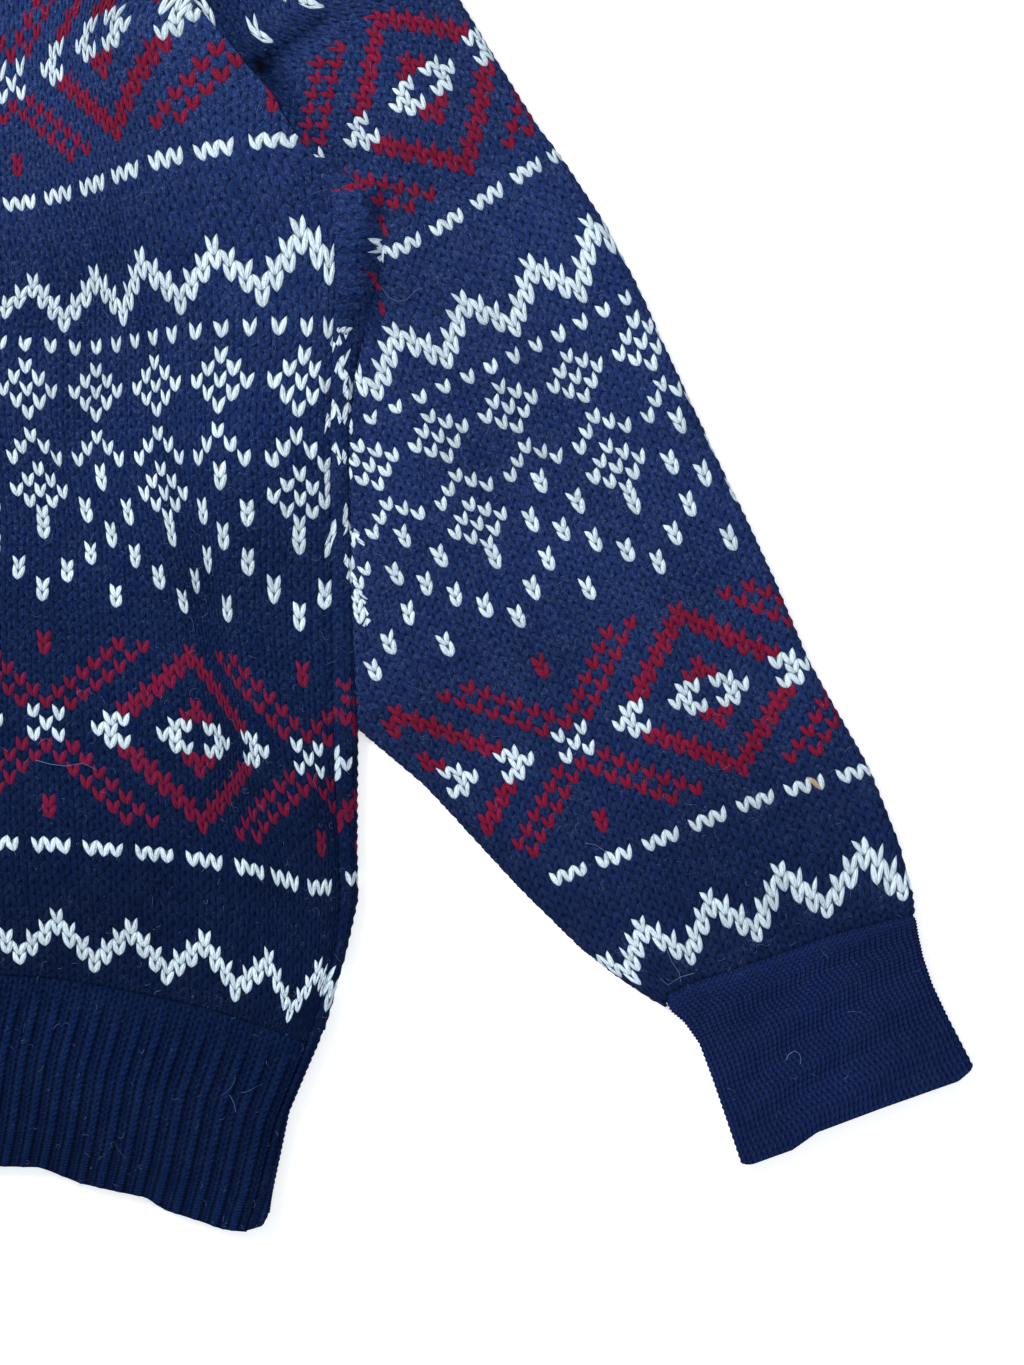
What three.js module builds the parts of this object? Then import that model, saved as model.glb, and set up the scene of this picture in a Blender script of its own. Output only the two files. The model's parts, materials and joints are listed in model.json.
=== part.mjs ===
// A fair isle wool jumper laid flat, front up: raglan body, ribbed hem, two sleeves with sewn-on cuffs, crew neckband.
// Millimetres, +Z up. X runs across the garment, Y from hem to neck, and the back rests on Z = 0.
import * as THREE from 'three';

// Cloth
const WALL = 3;
const SEAM = 0.4;
const LAID_HEIGHT = 7;
const MOST_RISE = 2.8;

// Plan measures are taken in steps of the photograph's grid and turned to real millimetres here
const STEP = 0.42;
const CENTRE_COLUMN = -332;
const HEM_LEVEL = 1169;
const MIDDLE_Y = 338.26;
const across = (column) => (column - CENTRE_COLUMN) * STEP;
const along = (level) => (HEM_LEVEL - level) * STEP - MIDDLE_Y;

// Ribs
const HEM_RIBS = 58;
const HEM_RIB_RISE = 1.1;
const CUFF_RIBS = 48;
const CUFF_RIB_RISE = 0.6;
const NECK_RIBS = 36;
const NECK_RIB_RISE = 0.9;
const NECKBAND_WIDTH = 25;

// Divisions
const FRONT_COLUMNS = 16;
const BACK_COLUMNS = 8;
const WRAP_COLUMNS = 2;
const ARC_STEPS = 4;
const SLEEVE_TOP = 8;
const SLEEVE_UNDER = 3;
const CUFF_UNDER = 6;
const NECK_BACK_COLUMNS = 12;

// Right half of the body, hem to underarm: side edge, side seam, and the level of the same row at the centre
const HEM_ROWS = [
  { edge: [254, 1230], seam: [238, 1233], centre: 1160 },
  { edge: [276, 1188], seam: [258, 1195], centre: 1105 },
  { edge: [290, 1112], seam: [276, 1122], centre: 1035 },
  { edge: [325, 1031], seam: [309, 1041], centre: 957 },
];
const BODY_ROWS = [
  { edge: [325, 1031], seam: [309, 1041], centre: 957 },
  { edge: [347, 953], seam: [334, 960], centre: 885 },
  { edge: [359, 898], seam: [340, 900], centre: 835 },
  { edge: [358, 850], seam: [338, 850], centre: 790 },
  { edge: [358, 790], seam: [335, 790], centre: 735 },
  { edge: [359, 727], seam: [333, 727], centre: 680 },
  { edge: [357, 660], seam: [332, 660], centre: 620 },
  { edge: [355, 590], seam: [331, 590], centre: 560 },
  { edge: [353, 510], seam: [330, 510], centre: 490 },
  { edge: [352, 430], seam: [330, 430], centre: 425 },
  { edge: [356, 372], seam: [331, 372], centre: 375 },
  { edge: [370, 330], seam: [333, 330], centre: 335 },
  { edge: [378, 285], seam: [335, 288], centre: 295 },
  { edge: [385, 240], seam: [336, 245], centre: 255 },
  { edge: [380, 206], seam: [333, 210], centre: 220 },
  { edge: [352, 182], seam: [327, 166], centre: 180 },
];

// Raglan rows above the underarm: end of the row on the front seam and on the back seam, with the centre levels
const RAGLAN_ROWS = [
  { front: [303, 144], frontCentre: 150, back: [303, 144], backCentre: 150 },
  { front: [263, 82], frontCentre: 100, back: [263, 82], backCentre: 95 },
  { front: [200, 10], frontCentre: 40, back: [200, 10], backCentre: 25 },
  { front: [120, -87], frontCentre: -40, back: [118, -92], backCentre: -75 },
  { front: [40, -184], frontCentre: -115, back: [36, -198], backCentre: -185 },
  { front: [-40, -281], frontCentre: -190, back: [-50, -310], backCentre: -300 },
  { front: [-122, -379], frontCentre: -264, back: [-141, -431], backCentre: -414 },
];

// Sleeve sections, cuff seam to underarm: inner and outer fold
const SLEEVE_ROWS = [
  { inner: [680, 1021], outer: [917, 908] },
  { inner: [640, 996], outer: [910, 866] },
  { inner: [590, 962], outer: [896, 817] },
  { inner: [540, 917], outer: [866, 761] },
  { inner: [490, 861], outer: [832, 698] },
  { inner: [440, 808], outer: [799, 636] },
  { inner: [389, 756], outer: [773, 573] },
  { inner: [361, 727], outer: [757, 539] },
  { inner: [359, 660], outer: [734, 488] },
  { inner: [357, 590], outer: [703, 426] },
  { inner: [355, 510], outer: [670, 357] },
  { inner: [354, 430], outer: [643, 293] },
  { inner: [358, 372], outer: [621, 248] },
  { inner: [372, 330], outer: [603, 217] },
  { inner: [380, 285], outer: [585, 189] },
  { inner: [387, 240], outer: [562, 156] },
  { inner: [382, 205], outer: [543, 130] },
  { inner: [354, 180], outer: [522, 101] },
];
const SHOULDER_FOLD = [
  [496, 60], [458, -10], [405, -90], [330, -180], [232, -268], [110, -350], [-99, -455],
];

// Cuff sections from the sewn seam to the free edge
const CUFF_ROWS = [
  { inner: [680.8, 1022.6], outer: [917.8, 909.6] },
  { inner: [714, 1078], outer: [933, 978] },
  { inner: [741, 1161], outer: [977, 1067] },
];

// Shoulder end of the neckband: where its seam and its free edge fold over
const NECK_FOLD_SEAM = [97, 344.1];
const NECK_SIDE_CLEARANCE = 0.9;
// Share of each half of the loop that lies on the sleeve's top, and how sharply the loop folds there
const SHOULDER_SHARE = 0.16;
const NECK_FOLD_SHARPNESS = 14;
const NECK_FOLD_FREE = [80, 365.1];

// Soft ridges in the laid cloth: two ends in millimetres, half width and height
const RIDGES = [
  { from: [120, -250], to: [205, -60], width: 34, height: 1.3 },
  { from: [212, -190], to: [252, -20], width: 26, height: 1.5 },
  { from: [60, -120], to: [90, 120], width: 40, height: 1.0 },
  { from: [150, 40], to: [245, 95], width: 28, height: 1.6 },
  { from: [286, 20], to: [300, 78], width: 13, height: 2.6 },
  { from: [340, 40], to: [420, -90], width: 30, height: 1.2 },
  { from: [380, 60], to: [330, 190], width: 30, height: 1.4 },
  { from: [430, -200], to: [480, -160], width: 26, height: 1.1 },
  { from: [-140, -240], to: [-190, -50], width: 36, height: 1.2 },
  { from: [-225, -170], to: [-245, -10], width: 26, height: 1.4 },
  { from: [-50, -60], to: [-110, 150], width: 42, height: 1.1 },
  { from: [-160, 55], to: [-250, 85], width: 28, height: 1.5 },
  { from: [-286, 20], to: [-300, 78], width: 13, height: 2.4 },
  { from: [-350, 20], to: [-425, -110], width: 30, height: 1.3 },
  { from: [-375, 75], to: [-320, 195], width: 32, height: 1.2 },
];

// Height of the upper layer's outer face over the surface the jumper lies on
function ridgeHeight(x, y, ridge) {
  const [x1, y1] = ridge.from;
  const [x2, y2] = ridge.to;
  const lengthSquared = (x2 - x1) ** 2 + (y2 - y1) ** 2;
  const t = THREE.MathUtils.clamp(((x - x1) * (x2 - x1) + (y - y1) * (y2 - y1)) / lengthSquared, 0, 1);
  const distance = Math.hypot(x - x1 - t * (x2 - x1), y - y1 - t * (y2 - y1));
  return ridge.height * Math.exp(-((distance / ridge.width) ** 2));
}

function topHeight(x, y) {
  const rise = RIDGES.reduce((sum, ridge) => sum + ridgeHeight(x, y, ridge), 0);
  return LAID_HEIGHT + Math.min(rise, MOST_RISE);
}

const lerp = (a, b, t) => a + (b - a) * t;
const lerp2 = (a, b, t) => [lerp(a[0], b[0], t), lerp(a[1], b[1], t)];
const place = ([column, level]) => [across(column), along(level)];

// A closed wall between an outer and an inner grid of points; cells for which has() is false are left open
function wall({ columns, rows, outer, inner, closed = false, has = () => true }) {
  const across1 = closed ? columns : columns + 1;
  const points = [];
  const vertexOf = new Map();
  const vertex = (side, i, j) => {
    const column = closed ? i % columns : i;
    const key = (side * (rows + 1) + j) * across1 + column;
    if (!vertexOf.has(key)) {
      vertexOf.set(key, points.length / 3);
      points.push(...(side === 0 ? outer(column, j) : inner(column, j)));
    }
    return vertexOf.get(key);
  };
  const present = (i, j) => {
    if (j < 0 || j >= rows) return false;
    if (closed) return has((i + columns) % columns, j);
    return i >= 0 && i < columns && has(i, j);
  };
  const faces = [];
  for (let j = 0; j < rows; j += 1) {
    for (let i = 0; i < columns; i += 1) {
      if (!present(i, j)) continue;
      const corners = [[i, j], [i + 1, j], [i + 1, j + 1], [i, j + 1]];
      const out = corners.map(([ci, cj]) => vertex(0, ci, cj));
      const back = corners.map(([ci, cj]) => vertex(1, ci, cj));
      faces.push(out[0], out[1], out[2], out[0], out[2], out[3]);
      faces.push(back[0], back[2], back[1], back[0], back[3], back[2]);
      const neighbours = [[i, j - 1], [i + 1, j], [i, j + 1], [i - 1, j]];
      neighbours.forEach(([ni, nj], side) => {
        if (present(ni, nj)) return;
        const next = (side + 1) % 4;
        faces.push(out[next], out[side], back[side], out[next], back[side], back[next]);
      });
    }
  }
  return facingOut(points, faces);
}

// Faces are turned round where the wall came out inside out
function facingOut(points, faces) {
  const corner = (index) => new THREE.Vector3().fromArray(points, index * 3);
  let volume = 0;
  for (let f = 0; f < faces.length; f += 3) {
    volume += corner(faces[f]).dot(corner(faces[f + 1]).cross(corner(faces[f + 2])));
  }
  if (volume < 0) {
    for (let f = 0; f < faces.length; f += 3) {
      [faces[f + 1], faces[f + 2]] = [faces[f + 2], faces[f + 1]];
    }
  }
  const geometry = new THREE.BufferGeometry();
  geometry.setAttribute('position', new THREE.Float32BufferAttribute(points, 3));
  geometry.setIndex(faces);
  return geometry;
}

// A row of the front from seam to seam: u runs from -1 to 1 and the row sags from its centre to its ends
function frontRow(end, centre, u) {
  return [u * (across(end[0]) - SEAM / 2), lerp(along(centre), along(end[1]), u * u)];
}

// The same row measured on the front's own straight divisions, so that two pieces share one seam line
function onDivisions(rowAt, u) {
  const position = (u + 1) / 2 * FRONT_COLUMNS;
  const first = Math.min(Math.floor(position), FRONT_COLUMNS - 1);
  const at = (step) => rowAt(-1 + 2 * step / FRONT_COLUMNS);
  return lerp2(at(first), at(first + 1), position - first);
}

const trim = (j, rows) => (j === 0 ? SEAM / 2 : 0) - (j === rows ? SEAM / 2 : 0);

function frontPanel() {
  const ends = [
    ...BODY_ROWS.map((row) => ({ end: row.seam, centre: row.centre })),
    ...RAGLAN_ROWS.map((row) => ({ end: row.front, centre: row.frontCentre })),
  ];
  const rows = ends.length - 1;
  const point = (i, j) => {
    const [x, y] = frontRow(ends[j].end, ends[j].centre, -1 + 2 * i / FRONT_COLUMNS);
    return [x, y + trim(j, rows)];
  };
  return wall({
    columns: FRONT_COLUMNS,
    rows,
    outer: (i, j) => [...point(i, j), topHeight(...point(i, j))],
    inner: (i, j) => [...point(i, j), topHeight(...point(i, j)) - WALL],
  });
}

const ribAt = (i, rise) => (i % 2 === 1 ? rise : 0);

function hemFront() {
  const columns = HEM_RIBS * 2 + 1;
  const rows = HEM_ROWS.length - 1;
  const point = (i, j) => {
    const u = -1 + 2 * i / columns;
    const rowAt = (v) => frontRow(HEM_ROWS[j].seam, HEM_ROWS[j].centre, v);
    const [x, y] = onDivisions(rowAt, u);
    return [x, y - (j === rows ? SEAM / 2 : 0)];
  };
  return wall({
    columns,
    rows,
    outer: (i, j) => [...point(i, j), topHeight(...point(i, j)) + (i < columns ? ribAt(i, HEM_RIB_RISE) : 0)],
    inner: (i, j) => [...point(i, j), topHeight(...point(i, j)) - WALL],
  });
}

// Points of the back across one row: wrap on the upper layer, side fold, the part that rests, side fold, wrap
function backRowPoints(row) {
  const [edgeX, edgeY] = place(row.edge);
  const [seamX, seamY] = [across(row.seam[0]) + SEAM / 2, along(row.seam[1])];
  const centreY = along(row.centre);
  const half = [];
  const radiusFor = (side) => topHeight(side * edgeX, edgeY) / 2;
  for (const side of [-1, 1]) {
    const radius = radiusFor(side);
    const flatX = edgeX - radius;
    const list = [];
    for (let k = 0; k < WRAP_COLUMNS; k += 1) {
      const t = k / WRAP_COLUMNS;
      const [x, y] = lerp2([seamX, seamY], [flatX, edgeY], t);
      const height = topHeight(side * x, y);
      list.push({ outer: [side * x, y, height], inner: [side * x, y, height - WALL] });
    }
    for (let k = 0; k <= ARC_STEPS; k += 1) {
      const angle = Math.PI / 2 - Math.PI * k / ARC_STEPS;
      const spot = (r) => [side * (flatX + r * Math.cos(angle)), edgeY, radius + r * Math.sin(angle)];
      list.push({ outer: spot(radius), inner: spot(radius - WALL) });
    }
    half.push(list);
  }
  const middle = [];
  const [left, right] = half.map((list) => list[list.length - 1].outer);
  for (let k = 1; k < BACK_COLUMNS; k += 1) {
    const u = -1 + 2 * k / BACK_COLUMNS;
    const x = lerp(left[0], right[0], k / BACK_COLUMNS);
    const y = lerp(centreY, edgeY, u * u);
    middle.push({ outer: [x, y, 0], inner: [x, y, WALL] });
  }
  return [...half[0], ...middle, ...half[1].reverse()];
}

function backPanel(rowsBelow, raglanRows) {
  const side = WRAP_COLUMNS + ARC_STEPS;
  const columns = side * 2 + BACK_COLUMNS;
  const grid = rowsBelow.map(backRowPoints);
  for (const row of raglanRows) {
    const halfWidth = across(row.back[0]) - SEAM / 2;
    const list = [];
    for (let i = 0; i <= columns; i += 1) {
      const u = THREE.MathUtils.clamp(-1 + 2 * (i - side) / BACK_COLUMNS, -1, 1);
      const y = lerp(along(row.backCentre), along(row.back[1]), u * u);
      list.push({ outer: [u * halfWidth, y, 0], inner: [u * halfWidth, y, WALL] });
    }
    grid.push(list);
  }
  const rows = grid.length - 1;
  const low = raglanRows.length > 0;
  const shift = (j) => (low ? trim(j, rows) : -(j === rows ? SEAM / 2 : 0));
  const moved = ([x, y, z], j) => [x, y + shift(j), z];
  return wall({
    columns,
    rows,
    outer: (i, j) => moved(grid[j][i].outer, j),
    inner: (i, j) => moved(grid[j][i].inner, j),
    has: (i, j) => j < rowsBelow.length - 1 || (i >= side && i < side + BACK_COLUMNS),
  });
}

// One section of a flattened tube: over the top, round the outer fold, back underneath, round the inner fold
function tubeSection(inner, outer, topColumns, underColumns) {
  const [a, b] = [place(inner), place(outer)];
  const length = Math.hypot(b[0] - a[0], b[1] - a[1]);
  const at = (distance) => lerp2(a, b, distance / length);
  const innerRadius = topHeight(...a) / 2;
  const outerRadius = topHeight(...b) / 2;
  const list = [];
  for (let k = 0; k < topColumns; k += 1) {
    const spot = at(lerp(innerRadius, length - outerRadius, k / topColumns));
    const height = k === 0 ? innerRadius * 2 : topHeight(...spot);
    list.push({ outer: [...spot, height], inner: [...spot, height - WALL] });
  }
  for (let k = 0; k < ARC_STEPS; k += 1) {
    const angle = Math.PI / 2 - Math.PI * k / ARC_STEPS;
    const spot = (r) => [...at(length - outerRadius + r * Math.cos(angle)), outerRadius + r * Math.sin(angle)];
    list.push({ outer: spot(outerRadius), inner: spot(outerRadius - WALL) });
  }
  for (let k = 0; k < underColumns; k += 1) {
    const spot = at(lerp(length - outerRadius, innerRadius, k / underColumns));
    list.push({ outer: [...spot, 0], inner: [...spot, WALL] });
  }
  for (let k = 0; k < ARC_STEPS; k += 1) {
    const angle = -Math.PI / 2 + Math.PI * k / ARC_STEPS;
    const spot = (r) => [...at(innerRadius - r * Math.cos(angle)), innerRadius + r * Math.sin(angle)];
    list.push({ outer: spot(innerRadius), inner: spot(innerRadius - WALL) });
  }
  return list;
}

// Above the underarm the sleeve is open at its inner side, between the front and the back raglan seams
function capSection(front, back, fold) {
  const clear = SEAM / 2;
  const a = [across(front[0]) + clear, along(front[1])];
  const c = [across(back[0]) + clear, along(back[1])];
  const b = place(fold);
  const radius = topHeight(...b) / 2;
  const length = Math.hypot(b[0] - a[0], b[1] - a[1]);
  const underLength = Math.hypot(b[0] - c[0], b[1] - c[1]);
  const list = [];
  for (let k = 0; k < SLEEVE_TOP; k += 1) {
    const spot = lerp2(a, b, (1 - radius / length) * k / SLEEVE_TOP);
    const height = topHeight(...spot);
    list.push({ outer: [...spot, height], inner: [...spot, height - WALL] });
  }
  for (let k = 0; k < ARC_STEPS; k += 1) {
    const angle = Math.PI / 2 - Math.PI * k / ARC_STEPS;
    const blend = k / ARC_STEPS;
    const spot = (r) => {
      const distance = radius - r * Math.cos(angle);
      const above = lerp2(b, a, distance / length);
      const below = lerp2(b, c, distance / underLength);
      return [...lerp2(above, below, blend), radius + r * Math.sin(angle)];
    };
    list.push({ outer: spot(radius), inner: spot(radius - WALL) });
  }
  for (let k = 0; k < SLEEVE_UNDER; k += 1) {
    const spot = lerp2(b, c, lerp(radius / underLength, 1, k / SLEEVE_UNDER));
    list.push({ outer: [...spot, 0], inner: [...spot, WALL] });
  }
  for (let k = 0; k < ARC_STEPS; k += 1) {
    list.push({ outer: [...c, 0], inner: [...c, WALL] });
  }
  return list;
}

function sleeveTube() {
  const grid = SLEEVE_ROWS.map((row) => tubeSection(row.inner, row.outer, SLEEVE_TOP, SLEEVE_UNDER));
  RAGLAN_ROWS.forEach((row, k) => {
    grid.push(capSection(row.front, row.back, SHOULDER_FOLD[k]));
  });
  const columns = SLEEVE_TOP + ARC_STEPS + SLEEVE_UNDER + ARC_STEPS;
  const open = SLEEVE_TOP + ARC_STEPS + SLEEVE_UNDER;
  return wall({
    columns,
    rows: grid.length - 1,
    closed: true,
    outer: (i, j) => grid[j][i].outer,
    inner: (i, j) => grid[j][i].inner,
    has: (i, j) => j < SLEEVE_ROWS.length - 1 || i < open,
  });
}

function cuffTube() {
  const ribColumns = CUFF_RIBS * 2;
  const underColumns = CUFF_UNDER;
  const grid = CUFF_ROWS.map((row) => tubeSection(row.inner, row.outer, ribColumns, underColumns));
  return wall({
    columns: ribColumns + underColumns + 2 * ARC_STEPS,
    rows: grid.length - 1,
    closed: true,
    outer: (i, j) => {
      const [x, y, z] = grid[j][i].outer;
      return [x, y, z + (i < ribColumns ? ribAt(i, CUFF_RIB_RISE) : 0)];
    },
    inner: (i, j) => grid[j][i].inner,
  });
}

// The neckband's loop: the front half lies on top, folds over at both shoulders, and the back half rests
function neckband() {
  const top = RAGLAN_ROWS[RAGLAN_ROWS.length - 1];
  const frontColumns = NECK_RIBS * 2;
  const backColumns = NECK_BACK_COLUMNS;
  const columns = frontColumns + backColumns;
  const frontSeam = (u) => onDivisions((v) => frontRow(top.front, top.frontCentre, v), u);
  const backSeam = (u) => {
    const half = across(top.back[0]);
    return [u * half, lerp(along(top.backCentre), along(top.back[1]), u * u)];
  };
  const seamLine = (u, seamAt) => {
    const side = Math.sign(u) || 1;
    const reach = (Math.abs(u) - (1 - SHOULDER_SHARE)) / SHOULDER_SHARE;
    if (reach <= 0) return seamAt(u / (1 - SHOULDER_SHARE));
    return lerp2(seamAt(side), [side * NECK_FOLD_SEAM[0], NECK_FOLD_SEAM[1]], reach);
  };
  const band = (i, j) => {
    const isFront = i <= frontColumns;
    const u = isFront ? -1 + 2 * i / frontColumns : 1 - 2 * (i - frontColumns) / backColumns;
    const [lineX, seamY] = seamLine(u, isFront ? frontSeam : backSeam);
    const seamX = lineX * (1 - NECK_SIDE_CLEARANCE / NECK_FOLD_SEAM[0]);
    const freeX = seamX * NECK_FOLD_FREE[0] / NECK_FOLD_SEAM[0];
    const lift = lerp(NECKBAND_WIDTH, NECK_FOLD_FREE[1] - NECK_FOLD_SEAM[1], u * u);
    const t = lerp(SEAM / NECKBAND_WIDTH, 1, j / 2);
    return { x: lerp(seamX, freeX, t), y: seamY + lift * t, isFront, u };
  };
  const folding = (u) => Math.abs(u) ** NECK_FOLD_SHARPNESS;
  const fold = (u) => Math.sqrt(Math.max(0, 1 - folding(u)));
  const outer = (i, j) => {
    const { x, y, isFront, u } = band(i, j);
    const half = LAID_HEIGHT / 2;
    const level = isFront ? half + half * fold(u) : half - half * fold(u);
    return [x, y, level + (isFront && i > 0 && i < frontColumns ? ribAt(i, NECK_RIB_RISE) : 0)];
  };
  const inner = (i, j) => {
    const { x, y, isFront, u } = band(i, j);
    const half = LAID_HEIGHT / 2 - WALL;
    const middle = LAID_HEIGHT / 2;
    const pull = 1 - WALL / NECK_FOLD_SEAM[0] * folding(u);
    return [x * pull, y, isFront ? middle + half * fold(u) : middle - half * fold(u)];
  };
  return wall({ columns, rows: 2, closed: true, outer, inner });
}

const navy = { color: 0x1c2a5c, roughness: 0.9, metalness: 0 };
const darkNavy = { color: 0x151f49, roughness: 0.92, metalness: 0 };

function piece(name, geometry, finish, mirrored = false) {
  if (mirrored) {
    const positions = geometry.getAttribute('position');
    const turned = [];
    for (let k = 0; k < positions.count; k += 1) {
      turned.push(-positions.getX(k), positions.getY(k), positions.getZ(k));
    }
    geometry = facingOut(turned, [...geometry.getIndex().array]);
  }
  geometry.computeVertexNormals();
  const mesh = new THREE.Mesh(geometry, new THREE.MeshStandardMaterial(finish));
  mesh.name = name;
  return mesh;
}

const jumper = new THREE.Group();
jumper.add(
  piece('front', frontPanel(), navy),
  piece('back', backPanel(BODY_ROWS, RAGLAN_ROWS), navy),
  piece('hem_front', hemFront(), darkNavy),
  piece('hem_back', backPanel(HEM_ROWS, []), darkNavy),
  piece('sleeve_left', sleeveTube(), navy),
  piece('sleeve_right', sleeveTube(), navy, true),
  piece('cuff_left', cuffTube(), darkNavy),
  piece('cuff_right', cuffTube(), darkNavy, true),
  piece('neckband', neckband(), darkNavy),
);

export default jumper;
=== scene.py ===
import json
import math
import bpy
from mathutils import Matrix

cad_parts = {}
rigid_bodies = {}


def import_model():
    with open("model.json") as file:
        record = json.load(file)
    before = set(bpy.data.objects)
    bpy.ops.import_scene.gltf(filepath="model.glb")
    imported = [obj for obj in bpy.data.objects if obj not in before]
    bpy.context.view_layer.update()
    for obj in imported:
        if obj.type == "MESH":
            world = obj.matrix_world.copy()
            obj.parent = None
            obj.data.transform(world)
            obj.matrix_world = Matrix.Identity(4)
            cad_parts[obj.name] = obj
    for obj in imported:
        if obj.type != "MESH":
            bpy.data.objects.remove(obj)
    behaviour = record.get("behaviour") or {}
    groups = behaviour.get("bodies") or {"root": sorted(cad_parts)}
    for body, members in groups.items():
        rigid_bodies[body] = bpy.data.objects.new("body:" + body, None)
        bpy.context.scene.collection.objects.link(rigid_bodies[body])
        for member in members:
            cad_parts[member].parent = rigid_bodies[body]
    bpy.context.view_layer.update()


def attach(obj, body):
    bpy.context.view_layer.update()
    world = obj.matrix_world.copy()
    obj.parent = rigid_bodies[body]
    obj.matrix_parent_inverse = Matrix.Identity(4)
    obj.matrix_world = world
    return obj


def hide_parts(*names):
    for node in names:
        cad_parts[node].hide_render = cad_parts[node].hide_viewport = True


bl_info = {
    "name": "Fair isle jumper",
    "version": (1, 0, 0),
    "blender": (4, 5, 0),
    "location": "3D View > Sidebar > Jumper",
    "description": "Knits a fair isle wool jumper, laid flat with its front up",
    "category": "Object",
}

import bmesh
import bpy
import numpy as np
from bpy.props import FloatProperty, FloatVectorProperty, IntProperty, PointerProperty
from mathutils import Vector

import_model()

# Plan measures are in steps of the photograph's grid, as in the part; lengths are in millimetres
MM = 0.001
STEP = 0.42
CENTRE_COLUMN = -332
HEM_LEVEL = 1169
MIDDLE_Y = 338.26

# Cloth laid on itself: height of the upper layer and the round of a fold
LAID_HEIGHT = 7.0
FOLD_RADIUS = 3.5
MOST_RISE = 4.2
LEAST_RISE = -2.6

# Gauge of the body knit, in millimetres a stitch and a row
STITCH = 4.95
ROW = 4.75

# Chart rows: the pattern repeats every 58 rows and 24 stitches
CHART_ROWS = 58
CHART_STITCHES = 24
LOZENGE_ROW = 35
RIB_ROW = 58
CENTRE_WALE = -30.5
NAVY, IVORY, RED, TAN = 0, 1, 2, 3

# The course tables give middles of stitches; a stitch's cell starts this much before, in stitches and rows
HALF_STITCH = 0.5
HALF_ROW = 0.73

# Which end of a row of the tables of sides
FOLD, SEAM = 0, 1

# Right half of the hem and of the body, upwards: column and level of the side fold, then of the side seam
HEM_ROWS = [
    ((271, 1214), (246, 1232)),
    ((276, 1188), (258, 1195)),
    ((290, 1112), (276, 1122)),
    ((325, 1031), (309, 1041)),
]
BODY_ROWS = [
    ((325, 1031), (309, 1041)),
    ((347, 953), (334, 960)),
    ((359, 898), (340, 900)),
    ((358, 850), (338, 850)),
    ((358, 790), (335, 790)),
    ((359, 727), (333, 727)),
    ((357, 660), (332, 660)),
    ((355, 590), (331, 590)),
    ((353, 510), (330, 510)),
    ((352, 430), (330, 430)),
    ((356, 372), (331, 372)),
    ((370, 330), (333, 330)),
    ((378, 285), (335, 288)),
    ((385, 240), (336, 245)),
    ((380, 206), (333, 210)),
    ((352, 182), (327, 166)),
]
FRONT_RAGLAN = [
    (327, 166), (303, 144), (263, 82), (200, 10), (120, -87), (40, -184), (-40, -281), (-122, -379),
]
BACK_RAGLAN = [
    (344, 182), (303, 144), (263, 82), (200, 10), (118, -92), (36, -198), (-50, -310), (-141, -431),
]

# Front courses: chart row, level at the centre wale, then stitch, column and level along the row to its seam
FRONT_COURSES = [
    (58, 957, [
        (0, 58, 980), (6, 128, 993), (12, 202, 1010), (18, 264, 1030), (24, 296, 1040), (26.5, 309, 1041)
    ]),
    (56, 935, [
        (0, 58, 962), (6, 131, 972), (12, 203, 984), (18, 268, 1003), (21, 292, 1020), (24, 312, 1012),
        (26.5, 326, 998)
    ]),
    (52, 892, [
        (0, 57, 916), (6, 131, 927), (12, 205, 939), (18, 270, 956), (21, 293, 976), (24, 318, 968),
        (26.5, 333, 953)
    ]),
    (42.5, 793, [(0, 48.5, 806), (12, 204, 821), (19, 262, 832), (24, 328, 843), (26.5, 340, 846)]),
    (46, 832, [
        (0, 50, 844), (4, 104, 848), (8, 154, 852), (12, 206, 860), (16, 254, 868), (20, 286, 880),
        (24, 321, 890), (26.5, 340, 884)
    ]),
    (35, 712, [
        (0, 46, 722), (5, 111, 729), (10, 176, 735), (12, 200, 738), (14, 221, 742), (19, 252, 750),
        (24, 309, 758), (26.5, 334, 764)
    ]),
    (23, 584, [
        (0, 42.5, 594), (6, 116.5, 601), (12, 187, 607), (18, 225, 616), (24, 299, 624), (26.5, 332, 628)
    ]),
    (17, 520, [
        (0, 44.5, 532), (6, 113.5, 541), (12, 174, 540), (18, 222, 542), (24, 300, 546), (26.5, 331, 550)
    ]),
    (11, 456, [
        (0, 39.5, 469), (6, 100, 472), (12, 160.7, 469), (18, 218, 470), (24, 302, 474), (26.5, 330, 478)
    ]),
    (8, 424, [
        (0, 30.6, 435), (6, 97, 437), (12, 158, 433), (18, 215.5, 430), (24, 295, 436), (26.5, 330, 440)
    ]),
    (0, 338, [
        (0, 22.5, 342), (2, 50, 346), (4, 75.6, 349), (6, 95.7, 348), (8, 117, 346), (10, 136, 342),
        (12, 153, 338), (14, 171, 335), (16, 195.5, 332), (18, 222, 329), (20, 251, 328), (22, 280, 327),
        (24, 310, 327), (26.5, 333, 331)
    ]),
    (-6, 280, [(0, 36, 283), (6, 97, 275), (12, 138, 256), (18, 213, 246), (24, 299, 227), (26.5, 333, 214)]),
    (-12, 214, [
        (0, 21, 203), (4, 58, 195), (8, 93, 185), (12, 124, 172), (16, 165, 158), (20, 212, 148),
        (24, 268, 139), (25.6, 300, 139)
    ]),
    (-23, 104, [(0, 13, 86), (5, 52, 67), (10, 83, 42), (14, 109, 26), (18, 156, 20), (20.5, 200, 10)]),
    (-32, 4, [(0, 8, -50), (11.4, 120, -87)]),
    (-41, -97, [(-10, -95, -130), (2.7, 40, -184)]),
    (-50, -198, [(-18, -185, -232), (-4.9, -40, -281)]),
    (-59, -299, [(-22, -232, -330), (-12.4, -122, -379)]),
    (-66, -378, [(-22, -232, -410), (-12.4, -122, -459)]),
]
UNDERARM_ROW = -9
SEAM_STITCH = 26.5
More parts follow.
